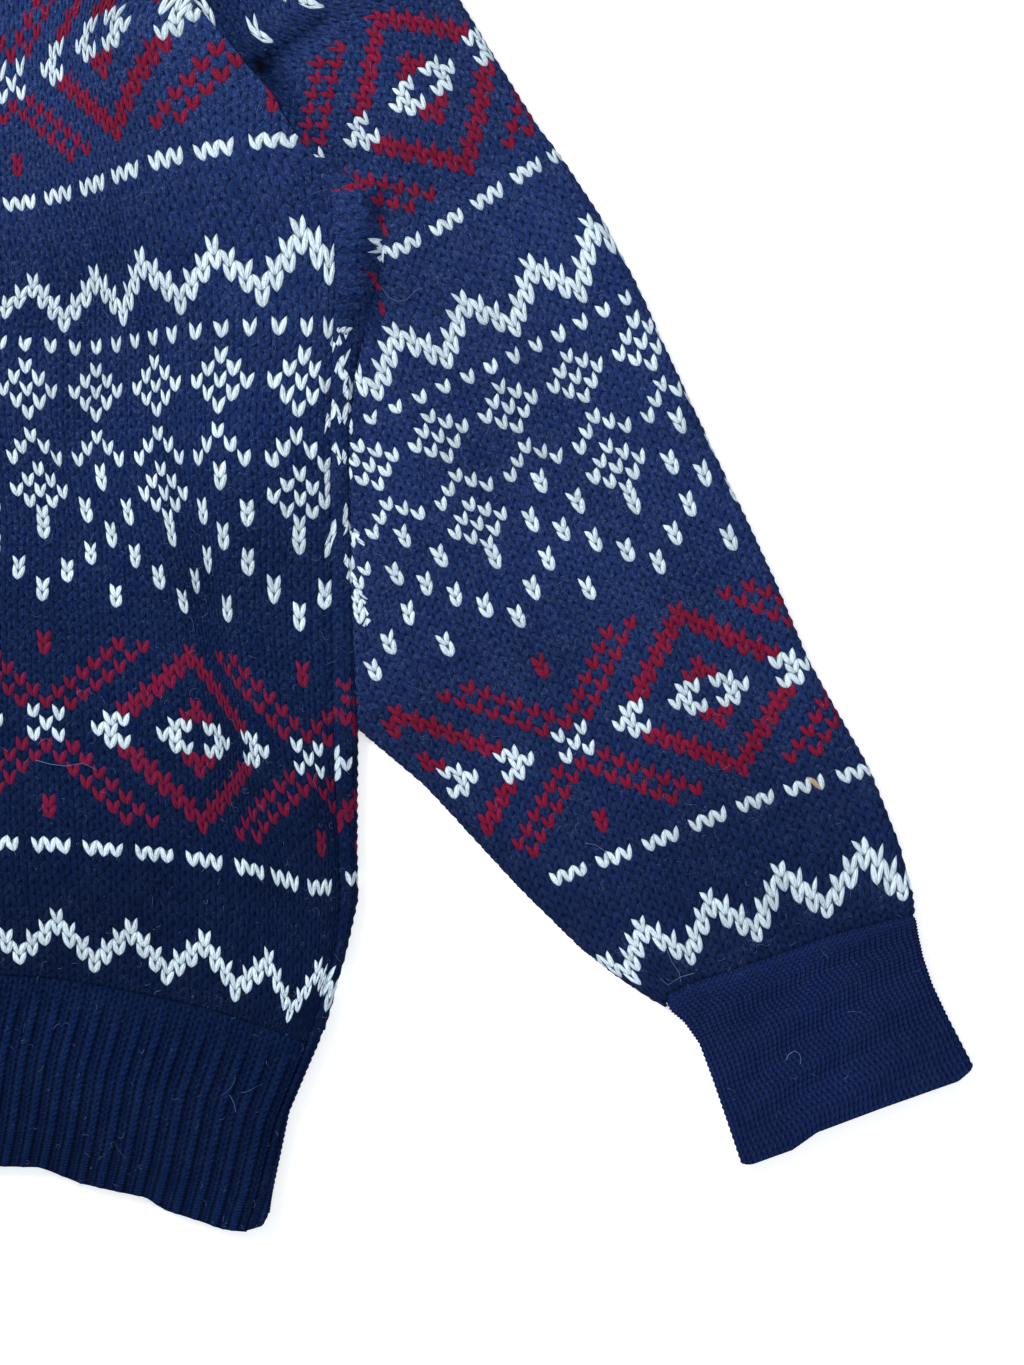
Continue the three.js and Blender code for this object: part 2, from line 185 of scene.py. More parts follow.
FRONT_NECK_ROW = -59
FRONT_NECK_LEVEL, BACK_NECK_LEVEL = -264, -414
# Stitches by which a course is carried on past its seam, and over which it is drawn to the seam
PAST_SEAM = 8
DRAWN_STITCHES = 7
# Columns by which the first stitch of the mirrored side is eased outwards
MIDDLE_EASE = 12
FRONT_NECK = [(-48.6, -59), (-40, -56.8), (-30.5, -55.9), (-21, -56.8), (-12.4, -59)]

# Lower edge of the front's rib, column and level, out from the centre
RIB_EDGE = [
    (-332, 1160), (0, 1167), (40, 1168), (80, 1184), (110, 1191), (145, 1198), (165, 1211), (200, 1222),
    (222, 1230), (246, 1233), (262, 1228), (271, 1216),
]

# Back: chart row, level at the centre and at the side; then its raglan and neckline in stitches
BACK_HALF = 58.5
BACK_COURSES = [
    (58, 957, 1031), (52, 890, 947), (46, 826, 878), (35, 712, 764), (23, 584, 628), (11, 456, 478),
    (0, 338, 331), (-9, 240, 182), (-12, 208, 144), (-23, 90, 13), (-32, -10, -84), (-41, -108, -181),
    (-50, -206, -278), (-59, -302, -375), (-64, -357, -431), (-71, -432, -505),
]
BACK_RAGLAN_STITCHES = [
    (-9, 54.6), (-12, 52.4), (-23, 45.4), (-32, 38.6), (-41, 31.8), (-50, 25.2), (-59, 18.9), (-64, 16.2),
]
BACK_NECK = [(-16.2, -64), (-8, -68), (0, -69.4), (8, -68), (16.2, -64)]

# Sleeve courses: chart row, inner end and outer fold in plan, and the places of some stitches between them
SLEEVE_COURSES = [
    (58.5, (664, 1009), (917, 914), [
        (-1, 676, 992), (3, 703, 980), (9, 768, 959), (15, 832, 936), (21, 903, 918)
    ]),
    (55.5, (617, 978), (914, 889), [
        (-3, 632, 972), (3, 691, 955), (9, 756, 931), (15, 824, 908), (21, 899, 893)
    ]),
    (52.5, (580, 949), (900, 840), [(0, 645, 929), (6, 711, 902), (12, 780, 875), (18, 861, 853)]),
    (46, (520, 890), (871, 768), [
        (-4, 572, 873), (0, 617, 856), (4, 662, 839), (8, 708, 819), (12, 754, 801), (16, 802, 786),
        (20, 853, 773)
    ]),
    (35, (424, 786), (811, 662), [
        (-10, 466, 779), (-5, 519, 762), (0, 576, 742), (5, 631, 721), (10, 686, 699), (14, 728, 690),
        (19, 789, 669)
    ]),
    (27.5, (355, 728), (778, 583), [
        (-8, 450, 701), (0, 542, 666), (8, 631, 628), (12, 676, 615), (16, 724, 600)
    ]),
    (20.5, (350.5, 658), (744, 510), [(-2, 486, 606), (2, 533, 588), (10, 625, 551), (14, 671, 535)]),
    (16, (349, 610), (720, 461), [(0, 494, 552), (6, 560, 526), (12, 629, 498)]),
    (4, (346, 474), (660, 332), [
        (-6, 374, 464), (0, 441, 436), (6, 510, 407), (12, 574, 378), (18, 638, 344)
    ]),
    (0, (346, 427), (642, 291), [
        (-4, 375, 417), (0, 423, 396), (6, 492, 367), (12, 558, 336), (18, 623, 300)
    ]),
    (-2.5, (350, 401), (628, 264), [(3, 447, 357), (9, 513, 326), (15, 576, 292)]),
    (-5.5, (356, 352), (604, 219), [(0, 399, 334), (6, 465, 303), (12, 531, 270), (18, 588, 229)]),
    (-12, (374, 256), (561, 154), [
        (4, 408, 246), (8, 449, 222), (12, 487, 197), (16, 525, 171), (20, 557, 155)
    ]),
    (-15, (374, 222), (538, 124), [(6, 412, 206), (8, 431, 194), (12, 469, 169)]),
    (-19, (357, 192), (513, 84), [(5, 381, 173), (12, 445, 128)]),
    (-23, (321, 167), (487, 42), [(5, 360, 134), (10, 404, 100), (14, 438, 75), (19, 479, 47)]),
    (-31, (267, 99), (438, -39), [(6, 319, 63), (8, 339, 48), (12, 374, 16)]),
    (-35.5, (218, 40), (415, -72), [(6, 256, 36), (12, 300, 5), (18, 372, -42)]),
    (-37.5, (201, 10), (405, -90), [(1.4, 201, 10), (6, 245, 3), (12, 300, -28), (19.2, 405, -90)]),
    (-47, (121, -87), (330, -180), [(1.6, 121, -87), (18.8, 330, -180)]),
    (-55.5, (41, -184), (232, -268), [(2.4, 41, -184), (18.4, 232, -268)]),
    (-64, (-39, -281), (110, -350), [(5, -39, -281), (18, 110, -350)]),
    (-72, (-121, -379), (-99, -455), [(11.5, -121, -379), (18, -99, -455)]),
]

# Above this row the sleeve's under layer ends at the back's raglan
CAP_ROW = -21

# Long loose hairs that lie on the cloth, by column and level
LONG_HAIRS = [
    [(382, 288), (388, 297), (397, 302), (407, 300), (414, 292), (421, 288)],
    [(786, 1060), (789, 1054), (794, 1051), (799, 1053), (801, 1059), (800, 1064)],
    [(660, 978), (668, 985), (680, 977), (694, 973)],
    [(667, 950), (672, 962), (679, 972), (681, 982)],
    [(36, 760), (50, 764), (66, 766), (84, 763), (97, 770)],
    [(230, 1095), (234, 1103), (236, 1112)],
    [(585, 843), (596, 845), (605, 851), (610, 860)],
]

# Cuff sections, seam to free edge
CUFF_SECTIONS = [
    ((664, 1008), (917, 913)),
    ((684, 1024), (920, 934)),
    ((699, 1045), (925, 957)),
    ((712, 1080), (934, 984)),
    ((725, 1118), (949, 1016)),
    ((739, 1160), (975, 1066)),
]

# Soft folds: two ends in millimetres, half width and height; a trough has a height below nought
RIDGES = [
    ((120, -250), (205, -60), 34, 1.3),
    ((212, -190), (252, -20), 26, 1.5),
    ((60, -120), (90, 120), 40, 1.0),
    ((150, 40), (245, 95), 28, 1.6),
    ((286, 20), (300, 78), 13, 2.6),
    ((340, 40), (420, -90), 30, 1.2),
    ((380, 60), (330, 190), 30, 1.4),
    ((430, -200), (480, -160), 26, 1.1),
    ((203, 14), (226, -100), 7, -1.3),
    ((226, -100), (262, -232), 8, -1.1),
    ((196, 10), (214, -100), 9, 1.0),
    ((232, 142), (262, 98), 12, -2.0),
    ((244, 124), (274, 146), 4.5, -2.0),
    ((300, 70), (296, 30), 3.5, -2.2),
    ((292, 70), (291, 30), 5, 1.4),
    ((330, -20), (350, -70), 14, -0.9),
    ((410, -130), (452, -118), 11, 0.9),
    ((380, -60), (300, -30), 13, 0.9),
    ((160, -190), (120, -120), 16, -0.8),
    ((-140, -240), (-190, -50), 36, 1.2),
    ((-225, -170), (-245, -10), 26, 1.4),
    ((-50, -60), (-110, 150), 42, 1.1),
    ((-160, 55), (-250, 85), 28, 1.5),
    ((-190, 30), (-222, -110), 8, -1.2),
    ((-180, 30), (-210, -110), 9, 0.9),
    ((-232, 142), (-262, 98), 12, -1.8),
    ((-300, 70), (-296, 30), 3.5, -2.2),
    ((-395, -110), (-440, -140), 12, 1.0),
    ((-286, 20), (-300, 78), 13, 2.4),
    ((-350, 20), (-425, -110), 30, 1.3),
    ((-375, 75), (-320, 195), 32, 1.2),
]

# Stray strokes of pattern yarn where panels meet: yarn, then the stroke's two ends by column and level
STRAYS = [
    (RED, 338, 190, 362, 187), (RED, 382, 219, 386, 233), (RED, 372, 276, 377, 286),
    (RED, 380, 306, 382, 311), (IVORY, 376, 241, 379, 254), (IVORY, 384, 247, 381, 256),
    (IVORY, 337, 330, 348, 330), (IVORY, 334, 344, 341, 344), (IVORY, 345, 354, 337, 371),
    (IVORY, 342, 369, 346, 393), (IVORY, 351, 385, 348, 394), (IVORY, 332, 404, 340, 420),
    (IVORY, 349, 405, 343, 420), (IVORY, 332, 412, 327, 425), (IVORY, 333, 447, 340, 462),
    (IVORY, 345, 453, 342, 463), (IVORY, 327, 466, 328, 494), (IVORY, 344, 509, 348, 533),
    (IVORY, 334, 525, 328, 552), (IVORY, 355, 533, 359, 543), (IVORY, 347, 557, 352, 581),
    (IVORY, 325, 583, 326, 606), (IVORY, 360, 592, 367, 624), (RED, 336, 684, 350, 686),
    (RED, 342, 700, 358, 702), (RED, 334, 712, 346, 714), (TAN, 814, 781, 817, 787),
]
STROKE_REACH = 3.1

# Painted light and shade on the wool by place, darker in the creases at the raglan, underarm and side seams
# and lighter where the light falls: two ends by column and level, half width, and how much lighter or darker
SLEEVE_PAINTED_SHADES = [
    ((196, -8), (262, 66), 30, -0.42),
    ((262, 66), (322, 150), 13, -0.38),
    ((255, 65), (317, 19), 8, -0.35),
    ((384, 210), (372, 330), 9, -0.35),
    ((356, 372), (352, 480), 9, -0.30),
    ((600, 60), (520, 180), 60, 0.10),
    ((700, 900), (900, 850), 46, -0.14),
]
FRONT_PAINTED_SHADES = [
    ((150, -60), (300, 128), 16, 0.16),
    ((40, 290), (180, 250), 60, -0.12),
    ((20, 30), (160, 10), 70, 0.14),
]
BACK_PAINTED_SHADES = [
    ((346, 250), (346, 400), 16, -0.20),
]
# Painted light on the body: lighter at the top and darker towards the hem, as the window light falls off:
# level and tone
BODY_PAINTED_FALLOFF = [
    (0, 1.22), (80, 1.04), (160, 0.95), (360, 0.84), (440, 0.70), (520, 0.66), (600, 0.59), (680, 0.56),
    (760, 0.53), (900, 0.53), (1000, 0.58),
]

# Stitches and rows of the body's cuts, laid flat before shaping
FRONT_CUT, BACK_CUT, SLEEVE_CUT = (114, 119), (117, 127), (74, 130)
SIDES = ((1, "left"), (-1, "right"))

# Ribbed hem: stitches, rows, and how far a rib stands up
HEM_STITCHES = 122
HEM_BACK_STITCHES = 126
HEM_RIB_ROWS = 38
HEM_RISE = 0.75

# Cuff: stitches round the tube, rows, how far a rib stands up, the way down the arm, and how far its free
# edge reaches out and its seam bows in, by share of the way over the top
CUFF_STITCHES = 96
CUFF_ROWS = 36
CUFF_RISE = 0.35
DOWN_CUFF = (0.36, -0.93)
CUFF_EDGE_REACH = [(0, 2.2), (0.06, 4.0), (0.22, 4.6), (0.34, 1.6), (0.6, 2.2), (0.9, 3.6), (1, 0)]
CUFF_SEAM_BOW = [(0, 0), (0.05, 4.8), (0.154, 5.7), (0.41, 4.3), (0.664, 3.9), (0.945, 0.5), (1, 0)]

# Neckband: ends of its seam and of its free edge in plan, and the share of its run that lies on the shoulder
NECK_FRONT_STITCHES = 46
NECK_BACK_STITCHES = 40
NECK_ROWS = 9
NECK_WIDTH = 25
NECK_FOLD = (103, 342.6)
NECK_FREE = (79.5, 365.1)
NECK_RISE = 0.6
NECK_CORNER = 8
NECK_SHOULDER = 0.16

# Bunched cloth under the arm: level, then its inner and outer column
UNDERARM_ROLL = [
    (157, 308, 328), (168, 318, 342), (180, 326, 356), (192, 330, 368), (206, 332, 378), (240, 334, 385),
    (285, 335, 377), (312, 336, 366), (336, 337, 352),
]
ROLL_STITCHES = 11
ROLL_ROWS = 3
ROLL_HEIGHT = 2.8

# Loose hairs: they root above this height, and redness of the dye tells navy, red and ivory yarn apart
UPPER_SIDE = 0.0055
REDNESS_STEPS = (0.08, 0.3)
CUFF_HAIR_SHARE = 0.35
PALE_HAIR = 3
HAIR_POINTS = 5
HAIR_COLOURS = (
    ("navy hair", (0.085, 0.135, 0.29)),
    ("red hair", (0.24, 0.05, 0.09)),
    ("ivory hair", (0.50, 0.58, 0.64)),
    ("pale hair", (0.30, 0.36, 0.48)),
)

# Surface of the wool
MATT_WOOL = {
    "Roughness": 0.95,
    "Specular IOR Level": 0.03,
    "Sheen Weight": 0.03,
    "Sheen Roughness": 0.6,
    "Sheen Tint": (0.3, 0.4, 0.8, 1),
}

# Stage: size of the photograph's grid, height of the camera, and each lamp's place, size, power, hue
PICTURE = (1024, 1365)
CAMERA_HEIGHT = 1.4
LAMPS = (
    ("window", (-1.5, 1.6, 1.35), 1.4, 118, (1, 0.98, 0.95)),
    ("fill", (1.4, -0.9, 1.6), 1.6, 16, (0.9, 0.95, 1)),
)


def across(column):
    return (np.asarray(column, float) - CENTRE_COLUMN) * STEP


def along(level):
    return (HEM_LEVEL - np.asarray(level, float)) * STEP - MIDDLE_Y


def level_of(y):
    return HEM_LEVEL - (y + MIDDLE_Y) / STEP


def read_table(table, key, value, by=0):
    """Straight-line value of one column of a table, by the key in another column."""
    return table_at([row[by] for row in table], key, [row[value] for row in table])


def distance_from(x, y, start, end):
    """How far places in plan lie from the straight stroke between two points."""
    (x1, y1), (x2, y2) = start, end
    run = np.clip(((x - x1) * (x2 - x1) + (y - y1) * (y2 - y1)) / ((x2 - x1) ** 2 + (y2 - y1) ** 2), 0, 1)
    return np.hypot(x - x1 - run * (x2 - x1), y - y1 - run * (y2 - y1))


def top_height(x, y):
    """Height of the upper layer's outer face at a place in plan, in millimetres."""
    rise = np.zeros_like(x)
    for start, end, width, height in RIDGES:
        rise += height * np.exp(-((distance_from(x, y, start, end) / width) ** 2))
    return LAID_HEIGHT + np.clip(rise, LEAST_RISE, MOST_RISE)


def painted_shade_at(painted_shades, x, y, body):
    """Painted light and shade of the wool at a place in plan, 1 where nothing changes it."""
    tone = np.ones_like(x)
    if body:
        tone *= read_table(BODY_PAINTED_FALLOFF, level_of(y), 1)
    for start, end, width, change in painted_shades:
        away = distance_from(x, y, (across(start[0]), along(start[1])), (across(end[0]), along(end[1])))
        tone += change * np.exp(-((away / (width * STEP)) ** 2))
    return tone


def stray_yarns(centres, yarns):
    """Turns stitch legs on a stray stroke to its yarn, on both sides but for the tan one."""
    x, y, z = centres.T
    column = np.abs(x) / STEP + CENTRE_COLUMN
    upper = z > LAID_HEIGHT * 0.6
    for yarn, *ends in STRAYS:
        near = distance_from(column, level_of(y), ends[:2], ends[2:]) < STROKE_REACH
        yarns[near & upper & ((x > 0) | (yarn != TAN))] = yarn


def table_at(rows, key, values):
    """Straight-line values from a table whose keys may run either way."""
    rows = np.asarray(rows, float)
    values = np.asarray(values, float)
    order = np.argsort(rows)
    return np.interp(key, rows[order], values[order])


def fair_isle_chart():
    """Yarn of every stitch in one repeat, rows counted down from the row of dots."""
    chart = np.zeros((CHART_ROWS, CHART_STITCHES), int)

    def knit(stitch, row, yarn=IVORY):
        chart[row % CHART_ROWS, stitch % CHART_STITCHES] = yarn

    def both(centre, aside, row, yarn=IVORY):
        knit(centre - aside, row, yarn)
        knit(centre + aside, row, yarn)

    def diamond(centre, top):
        for aside, row in ((0, 0), (1, 1), (2, 2), (0, 2), (1, 3)):
            both(centre, aside, top + row)

    for stitch in range(0, CHART_STITCHES, 2):
        knit(stitch, 0)
    for centre in range(0, CHART_STITCHES, 6):
        diamond(centre, 2)
        knit(centre, 6)
        for aside in range(3):
            both(centre, aside, 8 + aside)
            both(centre, aside, 52 + aside)
            both(centre, aside, 53 + aside)
        both(centre, 3, 55)
        both(centre, 3, 56)
    for centre in (0, 12):
        diamond(centre, 11)
        for row in (15, 16, 17, 22, 23):
            knit(centre, row)
        for row in (20, 21):
            both(centre, 2, row)
    for centre in (6, 18):
        for row in (11, 12, 16, 17, 22, 23):
            knit(centre, row)
        for row in (14, 15, 18, 19):
            both(centre, 2, row)
    for centre in range(1, CHART_STITCHES, 4):
        for stitch in (centre - 2, centre - 1, centre):
            knit(stitch, 46)
    for side in (-1, 1):
        def band(stitch, rows, yarn):
            for row in rows:
                both(0, stitch, LOZENGE_ROW + side * row, yarn)

        for stitch in range(6, 13):
            band(stitch, (stitch - 5, stitch - 4), RED)
        for step in range(7):
            band(step, (step + 2,), RED)
            band(step + 2, (step + 2,), RED)
        band(0, (7, 8), RED)
        band(11, (2,), RED)
        band(12, (2, 3), RED)
        for stitch, rows in ((0, (0,)), (1, (1,)), (4, (0,)), (5, (0, 1)), (6, (1,)),
                             (9, (0,)), (10, (0, 1)), (11, (1,))):
            band(stitch, rows, IVORY)
    return chart


def cut_along(bm, line, reach=1.6):
    """Cuts the flat knit along a line of (stitch, row) points, so that its edge is clean."""
    points = [np.array((stitch, -row), float) for stitch, row in line]
    for start, end in zip(points[:-1], points[1:]):
        low = np.minimum(start, end) - reach
        high = np.maximum(start, end) + reach
        near = []
        for face in bm.faces:
            centre = face.calc_center_median()
            if low[0] < centre.x < high[0] and low[1] < centre.y < high[1]:
                near.append(face)
        edges = {edge for face in near for edge in face.edges}
        verts = {vert for edge in edges for vert in edge.verts}
        run = end - start
        bmesh.ops.bisect_plane(
            bm,
            geom=[*verts, *edges, *near],
            dist=0.02,
            plane_co=(*start, 0),
            plane_no=(-run[1], run[0], 0),
        )


def flat_knit(first, stitches, top, rows, drop, yarn_of, cuts=(), outside=None):
    """A flat knit in stitch units: two legs a stitch, each a slanted face whose yarn is kept in a layer."""
    bm = bmesh.new()
    bmesh.ops.create_grid(bm, x_segments=stitches * 2, y_segments=rows, size=0.5)
    yarn = bm.faces.layers.int.new("yarn")
    for vert in bm.verts:
        half = round((vert.co.x + 0.5) * stitches * 2)
        row = round((0.5 - vert.co.y) * rows)
        vert.co = (first + half / 2, -(top + row + (drop if half % 2 else 0)), 0)
    for face in bm.faces:
        centre = face.calc_center_median()
        face[yarn] = yarn_of(math.floor(centre.x), math.floor(-centre.y - drop / 2))
    for line in cuts:
        cut_along(bm, line)
    if outside is not None:
        faces = bm.faces[:]
        centres = np.array([face.calc_center_median()[:2] for face in faces])
        gone = outside(centres[:, 0], -centres[:, 1])
        bmesh.ops.delete(bm, geom=[face for face, out in zip(faces, gone) if out], context="FACES")
        loose = [vert for vert in bm.verts if not vert.link_faces]
        bmesh.ops.delete(bm, geom=loose, context="VERTS")
    return bm


def raise_legs(bm, settings):
    """Gives the flat knit its thickness and rounds each leg's outer face."""
    cloth = settings.cloth / MM
    relief = settings.relief / MM
    for vert in bm.verts:
        vert.co.z = -relief
    bmesh.ops.recalc_face_normals(bm, faces=bm.faces[:])
    if sum(face.normal.z for face in bm.faces[:50]) < 0:
        bmesh.ops.reverse_faces(bm, faces=bm.faces[:])
    bmesh.ops.solidify(bm, geom=bm.faces[:], thickness=cloth - relief)
    bm.normal_update()
    levels = [vert.co.z for vert in bm.verts]
    highest = max(levels)
    outer = [face for face in bm.faces
             if face.normal.z > 0.5 and face.calc_center_median().z > highest - 0.01]
    woven = len(bm.verts)
    bmesh.ops.poke(bm, faces=outer, offset=relief, center_mode="MEAN")
    lift = -relief - highest
    for vert in bm.verts:
        vert.co.z += lift
    return woven


def read_values(items, key, width=1, kind=float):
    """A value, or a row of values, for each item of a mesh's list."""
    values = np.empty(len(items) * width, kind)
    items.foreach_get(key, values)
    return values.reshape(-1, width) if width > 1 else values


def dye_stitches(mesh, settings, strays):
    """Turns the yarn kept on each face to a colour, after the stray stitches."""
    yarns = read_values(mesh.attributes["yarn"].data, "value", kind=int)
    if strays:
        stray_yarns(read_values(mesh.polygons, "center", 3) / MM, yarns)
    dyes = [(*dye, 1) for dye in (settings.navy, settings.ivory, settings.red, settings.tan)]
    sizes = read_values(mesh.polygons, "loop_total", kind=int)
    colours = mesh.color_attributes.new(name="Yarn", type="FLOAT_COLOR", domain="CORNER")
    colours.data.foreach_set("color", np.array(dyes, np.float32)[np.repeat(yarns, sizes)].ravel())
    mesh.attributes.remove(mesh.attributes["yarn"])


def knit_piece(name, bm, settings, lay, material, painted_shades=(), node_name=None):
    """Lays a flat knit with lay(stitch, row, depth), dyes it, and attaches it to the root body in place of
    its part.
    """
    woven = raise_legs(bm, settings)
    mesh = bpy.data.meshes.new(name)
    bm.to_mesh(mesh)
    bm.free()
    stitch, row, depth = (read_values(mesh.vertices, "co", 3) * (1, -1, 1)).T
    placed = lay(stitch, row, depth) * MM
    mesh.vertices.foreach_set("co", placed.astype(np.float32).ravel())
    corners = read_values(mesh.loops, "vertex_index", kind=int)
    uv = mesh.uv_layers.new(name="Stitches")
    uv.uv.foreach_set("vector", np.column_stack((stitch, -row))[corners].astype(np.float32).ravel())
    dye_stitches(mesh, settings, bool(painted_shades))

    body = name.startswith(("front", "back", "underarm"))
    # Painted light and shade by place, kept in the Tone attribute
    painted_tones = painted_shade_at(painted_shades, np.abs(placed[:, 0]) / MM, placed[:, 1] / MM, body)
    mesh.attributes.new("Tone", "FLOAT", "POINT").data.foreach_set("value", painted_tones.astype(np.float32))
    inner_edges = read_values(mesh.edges, "vertices", 2, int).max(axis=1) < woven
    mesh.attributes.new("sharp_edge", "BOOLEAN", "EDGE").data.foreach_set("value", inner_edges)
    mesh.polygons.foreach_set("use_smooth", np.ones(len(mesh.polygons), bool))
    mesh.update()

    piece = bpy.data.objects.new(name, mesh)
    bpy.context.scene.collection.objects.link(piece)
    mesh.materials.append(material)
    nodes = [node_name or name.rsplit("_", 1)[0]]
    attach(piece, "root")
    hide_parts(*nodes)


def unevenness(stitch, row, seed, amount):
    """Small shifts that differ from stitch to stitch, the same on each run."""
    rng = np.random.default_rng(seed)
    table = rng.normal(0, amount, (409, 401))
    return table[np.round(row).astype(int) % 409, np.round(stitch * 2).astype(int) % 401]


def smooth_net(net, passes):
    for _ in range(passes):
        padded = np.pad(net, 1, mode="reflect", reflect_type="odd")
        net = (padded[:-2, 1:-1] + padded[2:, 1:-1] + padded[1:-1, :-2] + padded[1:-1, 2:] + 4 * net) / 8
    return net


def mirrored_wale(stitch):
    return 2 * CENTRE_WALE - stitch


def seam_columns(level):
    """Column of the front's side seam or raglan at a level."""
    return read_table([row[SEAM] for row in BODY_ROWS] + FRONT_RAGLAN[1:], level, 0, by=1)


def carried_on(before, last, stitch):
    """A stop at a stitch past the last one, at the slope of the two stops given."""
    share = (stitch - last[0]) / (last[0] - before[0])
    return (stitch, last[1] + (last[1] - before[1]) * share, last[2] + (last[2] - before[2]) * share)


def full_course(centre, stops, first, last):
    """One front course's stops from side to side, the hidden side plainly mirrored."""
    seam = stops[-1]
    line = [(mirrored_wale(seam[0]), 2 * CENTRE_COLUMN - seam[1], seam[2])]
    if stops[0][0] >= 0:
        shared_level = centre * 0.4 + stops[0][2] * 0.6
        line.append((mirrored_wale(1), 2 * CENTRE_COLUMN - stops[0][1] - MIDDLE_EASE, shared_level))
    line += [(CENTRE_WALE, CENTRE_COLUMN, centre), *stops]
    line.append(carried_on(line[-2], line[-1], last + PAST_SEAM))
    line.insert(0, carried_on(line[1], line[0], first - PAST_SEAM))
    return line


class FrontNet:
    """Where each stitch of the front lies in plan, from its courses' tables."""

    def __init__(self):
        self.first, last = -92, 32
        self.top, bottom = -66, 59
        wales = np.arange(self.first, last + 1)
        levels = np.arange(self.top, bottom + 1)
        self.rows = [course[0] for course in FRONT_COURSES]
        lines = [full_course(centre, stops, self.first, last) for _, centre, stops in FRONT_COURSES]
        self.x, self.y = (self.net_of(lines, part, wales, levels) for part in (1, 2))
        self.seam_levels = [stops[-1][2] for _, _, stops in FRONT_COURSES]
        self.raglan = [(SEAM_STITCH, UNDERARM_ROW)]
        for row, _, stops in FRONT_COURSES:
            if FRONT_NECK_ROW <= row <= UNDERARM_ROW:
                self.raglan.append((stops[-1][0], row))

    def net_of(self, lines, part, wales, levels):
        courses = np.array([np.interp(wales, [stop[0] for stop in line], [stop[part] for stop in line])
                            for line in lines])
        return smooth_net(np.array([table_at(self.rows, levels, wale) for wale in courses.T]).T, 3)

    def limit(self, row):
        """The last stitch before the side seam or the raglan."""
        return np.where(row > UNDERARM_ROW, SEAM_STITCH, read_table(self.raglan, row, 0, by=1))

    def at(self, stitch, row):
        across_net = np.clip(stitch - self.first, 0, self.x.shape[1] - 1.001)
        down_net = np.clip(row - self.top, 0, self.x.shape[0] - 1.001)
        wale, course = across_net.astype(int), down_net.astype(int)
        aside, below = across_net - wale, down_net - course

        def read(net):
            near = net[course, wale] * (1 - aside) + net[course, wale + 1] * aside
            far = net[course + 1, wale] * (1 - aside) + net[course + 1, wale + 1] * aside
            return near * (1 - below) + far * below

        return read(self.x), read(self.y)

    def place(self, stitch, row):
        """Plan place in grid steps, drawn to the seam near the panel's sides."""
        stitch, row = stitch - HALF_STITCH, row - HALF_ROW
        x, y = self.at(stitch, row)
        limit = self.limit(row)
        seam_y = table_at(self.rows, row, self.seam_levels)
        seam_x = seam_columns(seam_y)
        for side in (1, -1):
            edge = limit if side == 1 else mirrored_wale(limit)
            edge_x, edge_y = self.at(edge, row)
            target_x = seam_x if side == 1 else 2 * CENTRE_COLUMN - seam_x
            weight = np.clip(1 - (edge - stitch) * side / DRAWN_STITCHES, 0, 1)
            weight = weight * weight * (3 - 2 * weight)
            x = x + (target_x - edge_x) * weight
            y = y + (seam_y - edge_y) * weight
        return x, y


def sink_at_seam(distance, depth=1.1, reach=2.4):
    """How far the cloth dips towards a seam that lies at a distance in millimetres."""
    return depth * np.exp(-((distance / reach) ** 2))


def lay_front(net):
    def lay(stitch, row, depth):
        shifted = np.minimum(row + unevenness(stitch, row, 4, 0.05), RIB_ROW + HALF_ROW)
        x, y = net.place(stitch + unevenness(stitch, row, 3, 0.045), shifted)
        x, y = across(x), along(y)
        aside = np.abs(stitch - HALF_STITCH - CENTRE_WALE)
        gap = np.maximum((net.limit(row - HALF_ROW) - CENTRE_WALE - aside) * STITCH, 0)
        raglan = np.clip((UNDERARM_ROW - row) / 4, 0, 1)
        rolled = 1.1 * np.exp(-(((gap - 7) / 6) ** 2))
        z = top_height(x, y) + depth - sink_at_seam(gap) * (1 - 0.8 * raglan) + rolled * raglan
        return np.column_stack((x, y, z))

    return lay


def back_side(row):
    """Centre level, side level, side fold and seam of the back at a chart row, in millimetres."""
    level = read_table(BACK_COURSES, row, 2)
    fold_levels = [body_row[FOLD][1] for body_row in BODY_ROWS]
    edge_x = across(table_at(fold_levels, level, [body_row[FOLD][0] for body_row in BODY_ROWS]))
    seam_x = across(table_at(fold_levels, level, [body_row[SEAM][0] for body_row in BODY_ROWS]))
    return along(read_table(BACK_COURSES, row, 1)), along(level), edge_x, seam_x


def wrap_round(path, flat, radius, x_sign, y, depth):
    """Follows the cloth from under the middle, round the side fold and back over the top."""
    arc = math.pi * radius
    angle = np.clip((path - flat) / radius, 0, math.pi)
    over = np.maximum(path - flat - arc, 0)
    under = np.minimum(path, flat)
    x = under + np.sin(angle) * radius - over
    top = top_height(x_sign * x, y)
    z = top * 0.5 * (1 - np.cos(angle))
    x = x + depth * np.sin(angle)
    z = z - depth * np.cos(angle)
    return np.column_stack((x_sign * x, y, z))


def lay_back(stitch, row, depth):
    aside = stitch + unevenness(stitch, row, 5, 0.025)
    out = np.abs(aside)
    shifted = np.minimum(row - HALF_ROW + unevenness(stitch, row, 6, 0.03), RIB_ROW)
    centre, level, edge_x, seam_x = back_side(shifted)
    flat = edge_x - FOLD_RADIUS
    side_path = flat + math.pi * FOLD_RADIUS + np.maximum(flat - seam_x, 0)
    raglan = across(read_table(BACK_RAGLAN, read_table(BACK_COURSES, shifted, 2), 0, by=1))
    limit = read_table(BACK_RAGLAN_STITCHES, shifted, 1)
    above = shifted < UNDERARM_ROW
    blend = np.clip((UNDERARM_ROW - shifted) / 6, 0, 1)
    body_pitch = side_path / BACK_HALF
    path = out * np.where(above, body_pitch * (1 - blend) + raglan / limit * blend, body_pitch)
    part = np.clip(np.where(above, out / limit, path / flat), 0, 1)
    y = centre + (level - centre) * part * part
    placed = wrap_round(path, np.where(above, path + 1, flat), FOLD_RADIUS, np.sign(aside), y, depth)
    placed[:, 2] -= np.where(above, 0, sink_at_seam(np.maximum(BACK_HALF - out, 0) * STITCH))
    return placed


